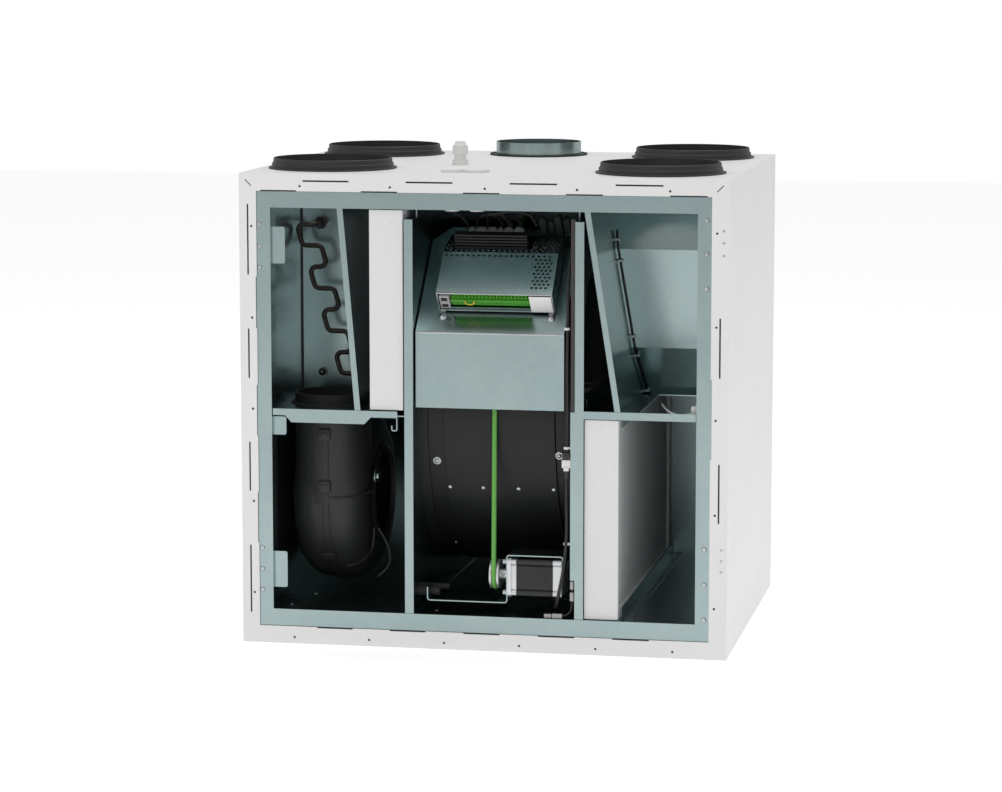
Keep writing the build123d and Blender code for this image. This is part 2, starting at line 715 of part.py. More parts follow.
# ---------------------------------------------------------------- fans
def scroll_solid(x_middle, axis, outlet_y, top, shrink, mode=Mode.ADD):
    """Rounded fan housing about a crosswise axis, with a round outlet neck going up."""
    radius = scroll_radius - shrink
    half = scroll_width / 2 - shrink
    shoulder = 40 - shrink
    with BuildSketch(Plane.XZ) as half_section:
        with BuildLine():
            Polyline((x_middle - half, axis[1]), (x_middle - half, axis[1] + radius),
                     (x_middle + half, axis[1] + radius), (x_middle + half, axis[1]), close=True)
        make_face()
        fillet(half_section.vertices().group_by(Axis.Y)[-1], shoulder)
    revolve(half_section.sketch, axis=Axis((x_middle, 0, axis[1]), (1, 0, 0)), mode=mode)
    span_rod("Z", axis[1], top, (x_middle, outlet_y - axis[0]), outlet_radius - shrink, mode)


def fan_scroll(x_middle, axis, outlet_y, top, inlet_side):
    """Hollow housing with an inlet ring on one side; built about y = 0."""
    scroll_solid(x_middle, axis, outlet_y, top, 0)
    scroll_solid(x_middle, axis, outlet_y, top + scroll_wall + 1, scroll_wall, Mode.SUBTRACT)
    inlet_face = x_middle + inlet_side * scroll_width / 2
    span_rod("X", *sorted((inlet_face - 8 * inlet_side, inlet_face + 2 * inlet_side)),
             (0, axis[1]), fan_inlet_radius, Mode.SUBTRACT)
    motor_face = x_middle - inlet_side * scroll_width / 2
    span_rod("X", *sorted((motor_face - 2 * inlet_side, motor_face + 8 * inlet_side)),
             (0, axis[1]), fan_motor_seat_radius, Mode.SUBTRACT)


def fan_motor(x_middle, axis, inlet_side):
    """Fixed motor body with its shaft, seated in the housing's far wall."""
    far = x_middle - inlet_side * scroll_width / 2
    span_rod("X", *sorted((far, far + inlet_side * scroll_wall)), axis, fan_motor_seat_radius)
    span_rod("X", *sorted((far + inlet_side * scroll_wall, far + inlet_side * 20)), axis,
             fan_motor_radius)
    span_rod("X", *sorted((far + inlet_side * 20, far + inlet_side * 68)), axis, fan_shaft_radius)


def fan_impeller(x_middle, axis, inlet_side):
    """Wheel of curved blades between a back plate and a front ring, on a bored hub."""
    back = x_middle - inlet_side * scroll_width / 2 + inlet_side * 23
    tip = back + inlet_side * impeller_width
    span_rod("X", *sorted((back, back + inlet_side * 2.5)), (0, 0), impeller_radius)
    span_rod("X", *sorted((back, back + inlet_side * 40)), (0, 0), impeller_hub_radius)
    span_rod("X", *sorted((tip - inlet_side * 3, tip)), (0, 0), impeller_radius)
    span_rod("X", *sorted((tip - inlet_side * 3, tip)), (0, 0), impeller_eye_radius,
             Mode.SUBTRACT)
    with BuildSketch(Plane.YZ.offset(back)) as blades:
        with PolarLocations(impeller_radius - 9, blade_count):
            Rectangle(16, 2.4, rotation=38)
    extrude(blades.sketch, amount=tip - back)
    span_rod("X", *sorted((back - inlet_side, back + inlet_side * 60)), (0, 0),
             fan_shaft_radius + running_clearance, Mode.SUBTRACT)


collar_height = left_shelf_top + 15
collar_foot = left_shelf_top - plate - 1           # also where the housing's neck ends
collar_inner = outlet_radius - 4
with BuildPart() as supply_fan_scroll:
    fan_scroll(fan_outlet[0], supply_axis, fan_outlet[1], collar_foot, 1)
supply_fan_scroll.part.location = Location((0, supply_axis[0], 0))
save(supply_fan_scroll, "supply_fan_scroll")

with BuildPart() as fan_motors:
    fan_motor(fan_outlet[0], supply_axis, 1)
    fan_motor(exhaust_outlet[0], exhaust_axis, -1)
save(fan_motors, "fan_motors")

with BuildPart() as supply_impeller:
    fan_impeller(fan_outlet[0], supply_axis, 1)
supply_impeller.part.location = Location((0, *supply_axis))
save(supply_impeller, "supply_impeller")

with BuildPart() as exhaust_fan_scroll:
    fan_scroll(exhaust_outlet[0], exhaust_axis, exhaust_outlet[1], ceiling - 0.5, -1)
exhaust_fan_scroll.part.location = Location((0, exhaust_axis[0], 0))
save(exhaust_fan_scroll, "exhaust_fan_scroll")

with BuildPart() as exhaust_impeller:
    fan_impeller(exhaust_outlet[0], exhaust_axis, -1)
exhaust_impeller.part.location = Location((0, *exhaust_axis))
save(exhaust_impeller, "exhaust_impeller")

with BuildPart() as fan_outlet_collar:
    with BuildSketch(Plane.XZ):
        with BuildLine():
            Polyline((collar_inner, collar_foot), (outlet_radius, collar_foot),
                     (outlet_radius, left_shelf_top), (outlet_radius + 5, left_shelf_top),
                     (outlet_radius + 5, left_shelf_top + 1.5), (outlet_radius, left_shelf_top + 2.5),
                     (outlet_radius, collar_height), (collar_inner, collar_height), close=True)
        make_face()
    revolve(axis=Axis.Z)
fan_outlet_collar.part.location = Location((*fan_outlet, 0))
save(fan_outlet_collar, "fan_outlet_collar")

# ---------------------------------------------------------------- supply air heater
heater_plane = front + 165
heater_wall = front + left_divider_setback
heater_radius = 3.5
heater_start = (-269, 564.5)
pass_drop = 30
pass_drift = 10.1
pass_width = 27

heater_route = [(heater_start[0], heater_wall, heater_start[1]),
                (heater_start[0], heater_plane, heater_start[1])]
heater_x, heater_z = -297, 565
heater_route.append((heater_x, heater_plane, heater_z))
for number in range(7):
    heater_x += pass_drift - 1.5
    heater_z -= pass_drop
    heater_route.append((heater_x, heater_plane, heater_z))
    heater_x += pass_width if number % 2 == 0 else 1 - pass_width
    heater_route.append((heater_x, heater_plane, heater_z))
heater_route.append((heater_x, heater_wall, heater_z))

with BuildPart() as heater_element:
    with BuildLine() as heater_line:
        FilletPolyline(*heater_route, radius=8)
    heater_path = heater_line.wire()
    with BuildSketch(Plane(origin=heater_path @ 0, z_dir=heater_path % 0)):
        Circle(heater_radius)
    sweep(path=heater_path)
save(heater_element, "heater_element")

with BuildPart() as heater_fittings:
    for end in (heater_route[0], heater_route[-1]):
        with BuildSketch(Plane.XZ.offset(-heater_wall)):
            with Locations((end[0], end[2])):
                RegularPolygon(9.5, 6)
                Circle(heater_radius + 1.2, mode=Mode.SUBTRACT)
        extrude(amount=12)
    span_rod("Y", heater_wall - 6, heater_wall, (-270, 352), 5)
save(heater_fittings, "heater_fittings")

# ---------------------------------------------------------------- controller on its sloping tray
tray_face = front + 12
tray_low = 331
tray_fold = 434
tray_left = -93
tray_right = 111
tray_run = 186                                     # length of the sloping plate
tray_corner = 24
slope = Plane(origin=(0, tray_face, tray_fold), x_dir=(1, 0, 0), z_dir=(0, -1, 1))

with BuildPart() as control_tray:
    block((tray_left, tray_right), (tray_face, tray_face + sheet), (tray_low, tray_fold))
    with BuildSketch(slope):
        with BuildLine():
            Polyline((tray_left, 0), (tray_right, 0), (tray_right, tray_run - tray_corner),
                     (tray_right - tray_corner, tray_run), (tray_left + tray_corner, tray_run),
                     (tray_left, tray_run - tray_corner), close=True)
        make_face()
    extrude(amount=-sheet)
save(control_tray, "control_tray")

case_left = -64
case_right = 95
case_front = 36                                    # up the slope from the fold
case_bend = 108
case_rear = 158
case_base = 4
case_top = 41
rear_top = 17
case_profile = [(case_front, case_base), (case_front, case_top), (case_bend, case_top),
                (case_rear, rear_top), (case_rear, case_base)]
across_slope = Plane(origin=slope.from_local_coords(Vector(case_left, 0, 0)),
                     x_dir=slope.y_dir, z_dir=(1, 0, 0))
case_width = case_right - case_left
case_inset = sheet + 0.1                           # the case's floor sits inside the lid's sides

with BuildPart() as controller_case:
    with BuildSketch(across_slope.offset(case_inset)):
        with BuildLine():
            Polyline((case_front + 1, case_base), (case_front + 1, case_base + 5),
                     (case_front + 2.2, case_base + 5), (case_front + 2.2, case_base + 1.2),
                     (case_rear - 2.4, case_base + 1.2), (case_rear - 2.4, rear_top - 2),
                     (case_rear - 1.2, rear_top - 2), (case_rear - 1.2, case_base), close=True)
        make_face()
    extrude(amount=case_width - 2 * case_inset)
    for foot_x in (8, case_width - 8):
        for foot_v in (case_front + 6, case_rear - 12):
            foot = across_slope.from_local_coords(Vector(foot_v, 0, foot_x))
            with BuildSketch(Plane(origin=foot, z_dir=slope.z_dir)):
                Circle(3)
            extrude(amount=case_base)
save(controller_case, "controller_case")

rear_slope = Plane(origin=slope.from_local_coords(Vector(0, case_bend, case_top)), x_dir=(1, 0, 0),
                   z_dir=(slope.y_dir * (case_top - rear_top)
                          + slope.z_dir * (case_rear - case_bend)).normalized())
sink_left = -50
sink_right = 50
sink_reach = (13, 25)                              # front and back, along the rear slope

vent_radius = 1.9
vent_pitch = 6.2                                   # of the vents in a row
vent_row_pitch = 6.1
vent_rows = 9
vent_columns = 4
vent_field_width = 29
bend_vent_pitch = 7.5
bend_vents = 20                                    # in each of the two rows beside the bend
bend_vent_left = case_left + 5
rear_vent_rows = 5
rear_vents_left = [sink_left - 10.5, sink_left - 4.5]
rear_vents_right = [sink_right + 6 + column * vent_pitch for column in range(6)]
row_before_bend = case_bend - 6                    # the two rows beside the bend
row_behind_bend = 5
vent_field_top = case_bend - 12
rear_vent_start = 11
vent_cut = 3                                       # deeper than the lid's sheet
side_slot_pitch = 8

with BuildPart() as controller_lid:
    with BuildSketch(across_slope):
        with BuildLine():
            Polyline(*case_profile, close=True)
        make_face()
    extrude(amount=case_width)
    with BuildSketch(across_slope.offset(sheet)):
        with BuildLine():
            Polyline((case_front - 1, case_base - 1), (case_front - 1, case_top - sheet),
                     (case_bend - 0.5, case_top - sheet), (case_rear + 3, rear_top - 2.4),
                     (case_rear + 3, case_base - 1), close=True)
        make_face()
    extrude(amount=case_width - 2 * sheet, mode=Mode.SUBTRACT)
    lid_top = Plane(origin=slope.from_local_coords(Vector(0, 0, case_top)),
                    x_dir=(1, 0, 0), z_dir=slope.z_dir)
    with BuildSketch(lid_top):
        for column in range(bend_vents):
            with Locations((bend_vent_left + column * bend_vent_pitch, row_before_bend)):
                Circle(vent_radius)
        for row in range(vent_rows):
            for column in range(vent_columns):
                shift = vent_pitch / 2 if row % 2 else 0
                vent_x = case_right - vent_field_width + column * vent_pitch + shift
                with Locations((vent_x, vent_field_top - row * vent_row_pitch)):
                    Circle(vent_radius)
    extrude(amount=-vent_cut, mode=Mode.SUBTRACT)
    with BuildSketch(rear_slope):
        for column in range(bend_vents):
            with Locations((bend_vent_left + (column + 0.5) * bend_vent_pitch, row_behind_bend)):
                Circle(vent_radius)
        for row in range(rear_vent_rows):
            shift = vent_pitch / 2 if row % 2 else 0
            for vent_x in rear_vents_left + rear_vents_right:
                with Locations((vent_x + shift, rear_vent_start + row * vent_row_pitch)):
                    Circle(vent_radius)
    extrude(amount=-vent_cut, mode=Mode.SUBTRACT)
    for slot in range(9):
        slot_point = slope.from_local_coords(Vector(case_right, case_front + 10 + slot * side_slot_pitch, 24))
        with BuildSketch(Plane(origin=slot_point, x_dir=slope.y_dir, z_dir=(1, 0, 0))):
            Rectangle(3, 14)
        extrude(amount=-vent_cut, mode=Mode.SUBTRACT)
save(controller_lid, "controller_lid")

terminal_left = -46
terminal_right = 62
poles = 22
pole_pitch = (terminal_right - terminal_left) / poles
terminal_middle = ((terminal_left + terminal_right) / 2, 22.5)
terminal_height = 23
terminal_step = 3                                  # how far the raised middle stands out
terminal_rib_height = 6
terminal_rows = (17, 30)                           # of the wire entries
terminal_entry = (3, 4.5)
terminal_entry_depth = 5

with BuildPart() as terminal_block:
    terminal_origin = slope.from_local_coords(Vector(0, case_front + 4, 0))
    terminal_plane = Plane(origin=terminal_origin, x_dir=(1, 0, 0), z_dir=-slope.y_dir)
    with BuildSketch(terminal_plane):
        with Locations(terminal_middle):
            Rectangle(terminal_right - terminal_left, terminal_height)
    extrude(amount=-14)
    with BuildSketch(terminal_plane.offset(terminal_step)):
        with Locations(terminal_middle):
            Rectangle(terminal_right - terminal_left, terminal_rib_height)
    extrude(amount=-terminal_step)
    with BuildSketch(terminal_plane.offset(terminal_step)):
        for pole in range(poles):
            x = terminal_left + (pole + 0.5) * pole_pitch
            for height in terminal_rows:
                with Locations((x, height)):
                    Rectangle(*terminal_entry)
    extrude(amount=-terminal_step - terminal_entry_depth, mode=Mode.SUBTRACT)
save(terminal_block, "terminal_block")

ridge_count = 5
ridge_pitch = 4.3
groove_height = 1.9
groove_depth = 7

with BuildPart() as heat_sink:
    sink_middle = (sink_left + sink_right) / 2
    with BuildSketch(rear_slope):
        with Locations((sink_middle, sum(sink_reach) / 2)):
            Rectangle(sink_right - sink_left, sink_reach[1] - sink_reach[0])
    extrude(amount=ridge_count * ridge_pitch - groove_height)
    for groove in range(1, ridge_count):
        with BuildSketch(rear_slope.offset(groove * ridge_pitch - groove_height)):
            with Locations((sink_middle, sink_reach[0])):
                Rectangle(sink_right - sink_left + 2, 2 * groove_depth)
        extrude(amount=groove_height, mode=Mode.SUBTRACT)
save(heat_sink, "heat_sink")

# ---------------------------------------------------------------- wiring held inside the unit
motor_cable_route = [(104, front + 118, 574), (113, front + 84, 573), (116.5, front + 46, 549),
                     (115.4, front + 18, 508), (115.9, front + 13.5, 450), (114.9, front + 13, 392),
                     (115.6, front + 12.4, 334), (115.1, front + 12, 276), (114.6, front + 11.4, 218),
                     (115.9, front + 9.6, 160), (111.6, front + 5.8, 112), (105.5, front + 6, 82),
                     (100.5, front + 16, 62), (95.5, front + 32, 57.5), (93.4, motor_y + 6, 67),
                     (93.4, motor_y + 6, motor_height - motor_size / 2 + 2)]
with BuildPart() as motor_cable:
    cable(motor_cable_route, 2.2)
save(motor_cable, "motor_cable")

connector_y = front + 108
supply_lead_routes = (
    [(-62, front + 84, 596), (-56, front + 92, 590), (-45, front + 101, 583), (-39, connector_y, 572)],
    [(-12, front + 84, 594), (0, front + 94, 592), (12, front + 102, 586), (19, connector_y, 572)],
    [(-8, front + 86, 588), (24, front + 98, 593), (48, front + 106, 588), (56, connector_y + 2, 572)],
)
with BuildPart() as control_leads:
    for lead in supply_lead_routes:
        cable(lead, 2)
save(control_leads, "control_leads")

# ---------------------------------------------------------------- fasteners
rivet_radius = 3.5
rivet_height = 1.6
left_rivets = [(-307, z) for z in (74, 103, 132, 519, 548, 578)]
right_rivets = [(304, z) for z in (54, 102, 150, 501, 547, 592)]

with BuildPart() as frame_rivets:
    for x, z in left_rivets + right_rivets:
        with BuildSketch(Plane.XZ.offset(-frame_face)):
            with Locations((x, z)):
                Circle(rivet_radius)
        extrude(amount=rivet_height, taper=30)
save(frame_rivets, "frame_rivets")

screw_head_radius = 3.6
screw_head_height = 5
screw_grip = 10                                    # how far a screw reaches into the motor

with BuildPart() as motor_screws:
    for dy in (-bolt_pitch, bolt_pitch):
        for dz in (-bolt_pitch, bolt_pitch):
            at = (motor_y + dy, motor_height + dz)
            span_rod("X", upright_x - plate / 2 - screw_head_height, upright_x - plate / 2, at,
                     screw_head_radius)
            span_rod("X", upright_x - plate / 2, motor_front + screw_grip, at, bolt_hole_radius)
save(motor_screws, "motor_screws")
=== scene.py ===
"""Heat recovery unit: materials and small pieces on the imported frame.

Pieces are worked out in millimetres in the CAD frame and scaled to metres when they are added.
The stage, the lights and the camera are in metres.
"""

import json
import math

import bmesh
import bpy
from mathutils import Matrix, Vector


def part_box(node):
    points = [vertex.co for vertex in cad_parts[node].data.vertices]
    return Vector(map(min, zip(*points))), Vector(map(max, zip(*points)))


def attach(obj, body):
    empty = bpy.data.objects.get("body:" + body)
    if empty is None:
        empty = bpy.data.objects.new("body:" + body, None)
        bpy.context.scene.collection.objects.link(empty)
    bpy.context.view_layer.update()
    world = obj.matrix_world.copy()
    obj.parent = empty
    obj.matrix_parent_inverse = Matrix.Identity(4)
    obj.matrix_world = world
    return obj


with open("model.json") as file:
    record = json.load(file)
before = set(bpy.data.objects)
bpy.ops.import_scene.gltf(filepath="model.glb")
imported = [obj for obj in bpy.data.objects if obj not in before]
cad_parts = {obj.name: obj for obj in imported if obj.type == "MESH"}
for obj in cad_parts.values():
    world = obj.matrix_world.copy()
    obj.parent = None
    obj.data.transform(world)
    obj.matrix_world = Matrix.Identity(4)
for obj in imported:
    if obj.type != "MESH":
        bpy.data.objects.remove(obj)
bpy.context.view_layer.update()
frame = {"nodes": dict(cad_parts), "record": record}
nodes = frame["nodes"]
MM = 0.001
FORWARD, RIGHT, UP = (0, -1, 0), (1, 0, 0), (0, 0, 1)
MIX_A, MIX_B, MIX_RESULT = 6, 7, 2                 # a mix node's colour sockets


# ------------------------------------------------------------------ materials
def new_material(name, metallic, roughness, **sockets):
    """Principled material with the values that are the same all over set on its own sockets."""
    mat = bpy.data.materials.new(name)
    mat.use_nodes = True
    shader = mat.node_tree.nodes["Principled BSDF"]
    shader.inputs["Metallic"].default_value = metallic
    shader.inputs["Roughness"].default_value = roughness
    for key, value in sockets.items():
        shader.inputs[key.replace("_", " ")].default_value = value
    return mat, shader


class Nodes:
    """Short calls for building one material's node tree."""

    def __init__(self, mat):
        self.tree = mat.node_tree
        self.coords = self.add("ShaderNodeTexCoord").outputs["Object"]

    def add(self, kind, **values):
        node = self.tree.nodes.new(kind)
        for key, value in values.items():
            setattr(node, key, value)
        return node

    def link(self, source, target):
        self.tree.links.new(source, target)

    def stretched(self, scale):
        node = self.add("ShaderNodeMapping")
        node.inputs["Scale"].default_value = scale
        self.link(self.coords, node.inputs["Vector"])
        return node.outputs["Vector"]

    def noise(self, scale, detail, where=None):
        node = self.add("ShaderNodeTexNoise")
        node.inputs["Scale"].default_value = scale
        node.inputs["Detail"].default_value = detail
        self.link(where or self.coords, node.inputs["Vector"])
        return node.outputs["Fac"]

    def cells(self, scale, feature="F1"):
        node = self.add("ShaderNodeTexVoronoi", feature=feature)
        node.inputs["Scale"].default_value = scale
        self.link(self.coords, node.inputs["Vector"])
        return node.outputs["Distance"]

    def bands(self, scale, axis):
        node = self.add("ShaderNodeTexWave", wave_type="BANDS", bands_direction=axis)
        node.inputs["Scale"].default_value = scale
        self.link(self.coords, node.inputs["Vector"])
        return node.outputs["Fac"]

    def ramp(self, fac, stops):
        node = self.add("ShaderNodeValToRGB")
        ramp = node.color_ramp
        ramp.elements[0].position, ramp.elements[0].color = stops[0][0], (*stops[0][1], 1)
        ramp.elements[1].position, ramp.elements[1].color = stops[-1][0], (*stops[-1][1], 1)
        for place, colour in stops[1:-1]:
            ramp.elements.new(place).color = (*colour, 1)
        self.link(fac, node.inputs["Fac"])
        return node.outputs["Color"]

    def spread(self, fac, low, high):
        node = self.add("ShaderNodeMapRange")
        node.inputs["To Min"].default_value = low
        node.inputs["To Max"].default_value = high
        self.link(fac, node.inputs["Value"])
        return node.outputs["Result"]

    def bump(self, height, strength, distance, under=None):
        node = self.add("ShaderNodeBump")
        node.inputs["Strength"].default_value = strength
        node.inputs["Distance"].default_value = distance
        self.link(height, node.inputs["Height"])
        if under:
            self.link(under, node.inputs["Normal"])
        return node.outputs["Normal"]


def shade(colour, factor):
    return tuple(min(1.0, c * factor) for c in colour)


def surface(name, colour, grain, roughness, metallic=0.0, spread=0.08, bump=0.1, depth=0.0002,
            wear=0.0, stretch=None, **sockets):
    """Common finish: clouded colour, uneven gloss, fine grain and faint handling marks."""
    mat, shader = new_material(name, metallic, roughness[0], **sockets)
    n = Nodes(mat)
    clouds = n.noise(14, 4)
    n.link(n.ramp(clouds, [(0.3, shade(colour, 1 - spread)), (0.7, shade(colour, 1 + spread))]),
           shader.inputs["Base Color"])
    smears = n.noise(45, 5, n.stretched((1, 1, 0.25)))
    n.link(n.spread(smears, roughness[0], roughness[1] + wear), shader.inputs["Roughness"])
    fine = n.noise(grain, 2, n.stretched(stretch) if stretch else None)
    n.link(n.bump(fine, bump, depth), shader.inputs["Normal"])
    return mat


def galvanised():
    """Zinc coated sheet: a faint crystal pattern over rolled, slightly uneven gloss."""
    mat, shader = new_material("galvanised_sheet", 1.0, 0.18)
    n = Nodes(mat)
    spangle = n.cells(95)
    clouds = n.noise(9, 4)
    mix = n.add("ShaderNodeMath", operation="MULTIPLY_ADD")
    mix.inputs[1].default_value = 0.3
    n.link(spangle, mix.inputs[0])
    n.link(clouds, mix.inputs[2])
    n.link(n.ramp(mix.outputs[0], [(0.3, (0.305, 0.388, 0.392)), (0.95, (0.360, 0.444, 0.444))]),
           shader.inputs["Base Color"])
    n.link(n.spread(n.noise(30, 5, n.stretched((1, 1, 0.2))), 0.2, 0.3), shader.inputs["Roughness"])
    n.link(n.bump(n.noise(700, 2), 0.05, 0.0001), shader.inputs["Normal"])
    return mat


def enamel():
    """White powder coat: orange peel, with slightly greyer handling areas."""
    mat, shader = new_material("powder_coat", 0.0, 0.42)
    n = Nodes(mat)
    n.link(n.ramp(n.noise(6, 5), [(0.35, (0.80, 0.80, 0.795)), (0.6, (0.82, 0.82, 0.815))]),
           shader.inputs["Base Color"])
    n.link(n.spread(n.noise(60, 4), 0.36, 0.5), shader.inputs["Roughness"])
    peel = n.bump(n.noise(520, 2), 0.09, 0.00015)
    n.link(n.bump(n.noise(2600, 1), 0.05, 0.00005, peel), shader.inputs["Normal"])
    return mat


def filter_fibre():
    """Pressed white fibre with grey flecks and a few dark specks."""
    mat, shader = new_material("filter_fibre", 0.0, 0.95, Sheen_Weight=0.15)
    n = Nodes(mat)
    flecks = n.ramp(n.noise(900, 3), [(0.34, (0.70, 0.70, 0.70)), (0.5, (0.80, 0.80, 0.80)),
                                      (0.66, (0.85, 0.85, 0.845))])
    specks = n.ramp(n.cells(85), [(0.034, (0.45, 0.44, 0.43)), (0.07, (1, 1, 1))])
    mix = n.add("ShaderNodeMix", data_type="RGBA", blend_type="MULTIPLY")
    mix.inputs[0].default_value = 1.0
    n.link(flecks, mix.inputs[MIX_A])
    n.link(specks, mix.inputs[MIX_B])
    n.link(mix.outputs[MIX_RESULT], shader.inputs["Base Color"])
    pile = n.bump(n.noise(240, 4), 0.2, 0.0006)
    n.link(n.bump(n.noise(1500, 3), 0.2, 0.0003, pile), shader.inputs["Normal"])
    return mat


def wheel_honeycomb():
    """End face of wound corrugated foil: fine cells, light foil edges round cell openings darkened as
    painted shade of the open channels.
    """
    mat, shader = new_material("wheel_foil", 0.7, 0.45)
    n = Nodes(mat)
    walls = n.cells(420, "DISTANCE_TO_EDGE")
    # Dark end of the ramp: painted shade inside the open cells.
    n.link(n.ramp(walls, [(0.03, (0.62, 0.64, 0.65)), (0.22, (0.10, 0.105, 0.11))]),
           shader.inputs["Base Color"])
    n.link(n.bump(walls, 0.7, 0.0012), shader.inputs["Normal"])
    return mat


def laminated():
    """Motor stack: black varnished steel sheets side by side along X."""
    mat, shader = new_material("motor_laminations", 0.2, 0.5)
    n = Nodes(mat)
    n.link(n.ramp(n.noise(60, 4), [(0.3, (0.017, 0.0165, 0.0165)), (0.7, (0.029, 0.028, 0.028))]),
           shader.inputs["Base Color"])
    n.link(n.spread(n.noise(220, 3), 0.42, 0.6), shader.inputs["Roughness"])
    n.link(n.bump(n.bands(600, "X"), 0.25, 0.0002), shader.inputs["Normal"])
    return mat


MATERIALS = {
    "galvanised": galvanised(),
    "white_enamel": enamel(),
    "filter_paper": filter_fibre(),
    "wheel_core": wheel_honeycomb(),
    "black_laminate": laminated(),
    "black_plastic": surface("black_plastic", (0.022, 0.022, 0.0225), 1400, (0.42, 0.56), bump=0.12),
    "black_steel": surface("black_paint", (0.009, 0.0093, 0.0098), 900, (0.36, 0.5), bump=0.06,
                           Specular_IOR_Level=0.32),
    "white_plastic": surface("white_plastic", (0.76, 0.76, 0.74), 1100, (0.4, 0.55), spread=0.03),
    "mineral_wool": surface("mineral_wool", (0.10, 0.10, 0.098), 500, (0.9, 1.0), spread=0.2, bump=0.8,
                            depth=0.001, stretch=(1, 1, 5)),
    "steel": surface("turned_steel", (0.5, 0.52, 0.53), 900, (0.22, 0.36), 1.0, stretch=(8, 1, 1)),
    "belt_green": surface("belt_polyurethane", (0.125, 0.40, 0.068), 700, (0.3, 0.45), spread=0.06,
                          wear=0.1),
    "alloy": surface("cast_alloy", (0.66, 0.67, 0.68), 1100, (0.32, 0.46), 0.9, bump=0.2),
    "heater_black": surface("oxidised_tube", (0.040, 0.032, 0.029), 800, (0.3, 0.45), 0.55,
                            spread=0.25, bump=0.15),
    "terminal_green": surface("terminal_green", (0.066, 0.30, 0.024), 1200, (0.34, 0.48)),
    "sink_black": surface("black_anodised", (0.017, 0.0175, 0.018), 1000, (0.34, 0.5), 0.5,
                          stretch=(0.1, 1, 1)),
    "cable_black": surface("cable_sheath", (0.017, 0.016, 0.0155), 900, (0.42, 0.58)),
    "black_rubber": surface("black_rubber", (0.018, 0.018, 0.018), 900, (0.6, 0.8), bump=0.25),
    "grey_plastic": surface("connector_grey", (0.42, 0.42, 0.41), 1200, (0.38, 0.52)),
    "yellow_wire": surface("yellow_wire", (0.62, 0.47, 0.03), 900, (0.35, 0.5)),
    "dark_strip": surface("foam_seal_strip", (0.060, 0.056, 0.053), 600, (0.6, 0.8), bump=0.4),
}

for entry in frame["record"]["subparts"]:
    for place in nodes[entry["node"]].material_slots:
        place.material = MATERIALS[entry["material_slot"]]


# ------------------------------------------------------------------ mesh helpers
SMOOTH_BELOW = math.radians(35)


def show(name, data, finish, body):
    """Object of a finished mesh or curve, riding its body and in its material slot."""
    data.materials.append(MATERIALS[finish])
    obj = bpy.data.objects.new(name, data)
    bpy.context.scene.collection.objects.link(obj)
    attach(obj, body)


def add_piece(name, bm, finish, body="casing"):
    """Object from a bmesh whose coordinates are millimetres in the shared frame."""
    bmesh.ops.recalc_face_normals(bm, faces=bm.faces)
    bmesh.ops.scale(bm, vec=(MM, MM, MM), verts=bm.verts)
    for edge in bm.edges:
        edge.smooth = edge.is_manifold and edge.calc_face_angle(0) < SMOOTH_BELOW
    for face in bm.faces:
        face.smooth = True
    mesh = bpy.data.meshes.new(name)
    bm.to_mesh(mesh)
    bm.free()
    show(name, mesh, finish, body)


def turned(bm, profile, origin, direction, segments):
    """Ring or closed turned shape: (radius, height) profile about a line."""
    turn = Vector(UP).rotation_difference(Vector(direction).normalized()).to_matrix()
    rings = []
    for radius, height in profile:
        if radius < 1e-6:
            rings.append([bm.verts.new(Vector(origin) + turn @ Vector((0, 0, height)))])
            continue
        ring = []
        for step in range(segments):
            angle = 2 * math.pi * step / segments
            spot = Vector((radius * math.cos(angle), radius * math.sin(angle), height))
            ring.append(bm.verts.new(Vector(origin) + turn @ spot))
        rings.append(ring)
    pairs = list(zip(rings, rings[1:]))
    if len(rings[0]) > 1:
        pairs.append((rings[-1], rings[0]))
    for low, high in pairs:
        for i in range(segments):
            j = (i + 1) % segments
            if len(low) == 1:
                bm.faces.new((low[0], high[i], high[j]))
            elif len(high) == 1:
                bm.faces.new((low[i], low[j], high[0]))
            else:
                bm.faces.new((low[i], low[j], high[j], high[i]))


def bevelled(bm, low, high, edge, frame_matrix=None):
    """Moulded block with rounded edges."""
    part = bmesh.new()
    bmesh.ops.create_cube(part, size=1)
    size = [b - a for a, b in zip(low, high)]
    middle = [(a + b) / 2 for a, b in zip(low, high)]
    bmesh.ops.scale(part, vec=size, verts=part.verts)
    bmesh.ops.translate(part, vec=middle, verts=part.verts)
    bmesh.ops.bevel(part, geom=part.edges[:], offset=min(edge, 0.3 * min(size)), segments=2,
                    profile=0.5, affect="EDGES")
    if frame_matrix:
        bmesh.ops.transform(part, matrix=frame_matrix, verts=part.verts)
    scratch = bpy.data.meshes.new("scratch")
    part.to_mesh(scratch)
    part.free()
    bm.from_mesh(scratch)
    bpy.data.meshes.remove(scratch)


def swept(bm, path, profile):
    """Profile of (across, out) points along a path of (point, out direction, across direction)."""
    rings = [[bm.verts.new(Vector(p) + Vector(across) * a + Vector(out) * o) for a, o in profile]
             for p, out, across in path]
    count = len(profile)
    for low, high in zip(rings, rings[1:]):
        for i in range(count):
            j = (i + 1) % count
            bm.faces.new((low[i], low[j], high[j], high[i]))
    bm.faces.new(rings[0])
    bm.faces.new(list(reversed(rings[-1])))


def wire(name, points, radius, finish, body="casing"):
    """Fixed harness wire along a smooth line, fastened at its clips."""
    curve = bpy.data.curves.new(name, "CURVE")
    curve.dimensions = "3D"
    curve.bevel_depth = radius * MM
    curve.bevel_resolution = 4
    curve.use_fill_caps = True
    spline = curve.splines.new("NURBS")
    spline.points.add(len(points) - 1)
    for place, point in zip(spline.points, points):
        place.co = (*(c * MM for c in point), 1)
    spline.order_u = 3
    spline.use_endpoint_u = True
    show(name, curve, finish, body)


def corners(node):
    """A CAD node's box in millimetres."""
    low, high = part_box(node)
    return low / MM, high / MM


PAN_HEAD = [(0, 1.6), (0.7, 1.6), (0.7, 0.9), (1.3, 0.9), (1.3, 1.7), (2.4, 1.3), (3.0, 0.6),
            (3.1, 0), (0, 0)]


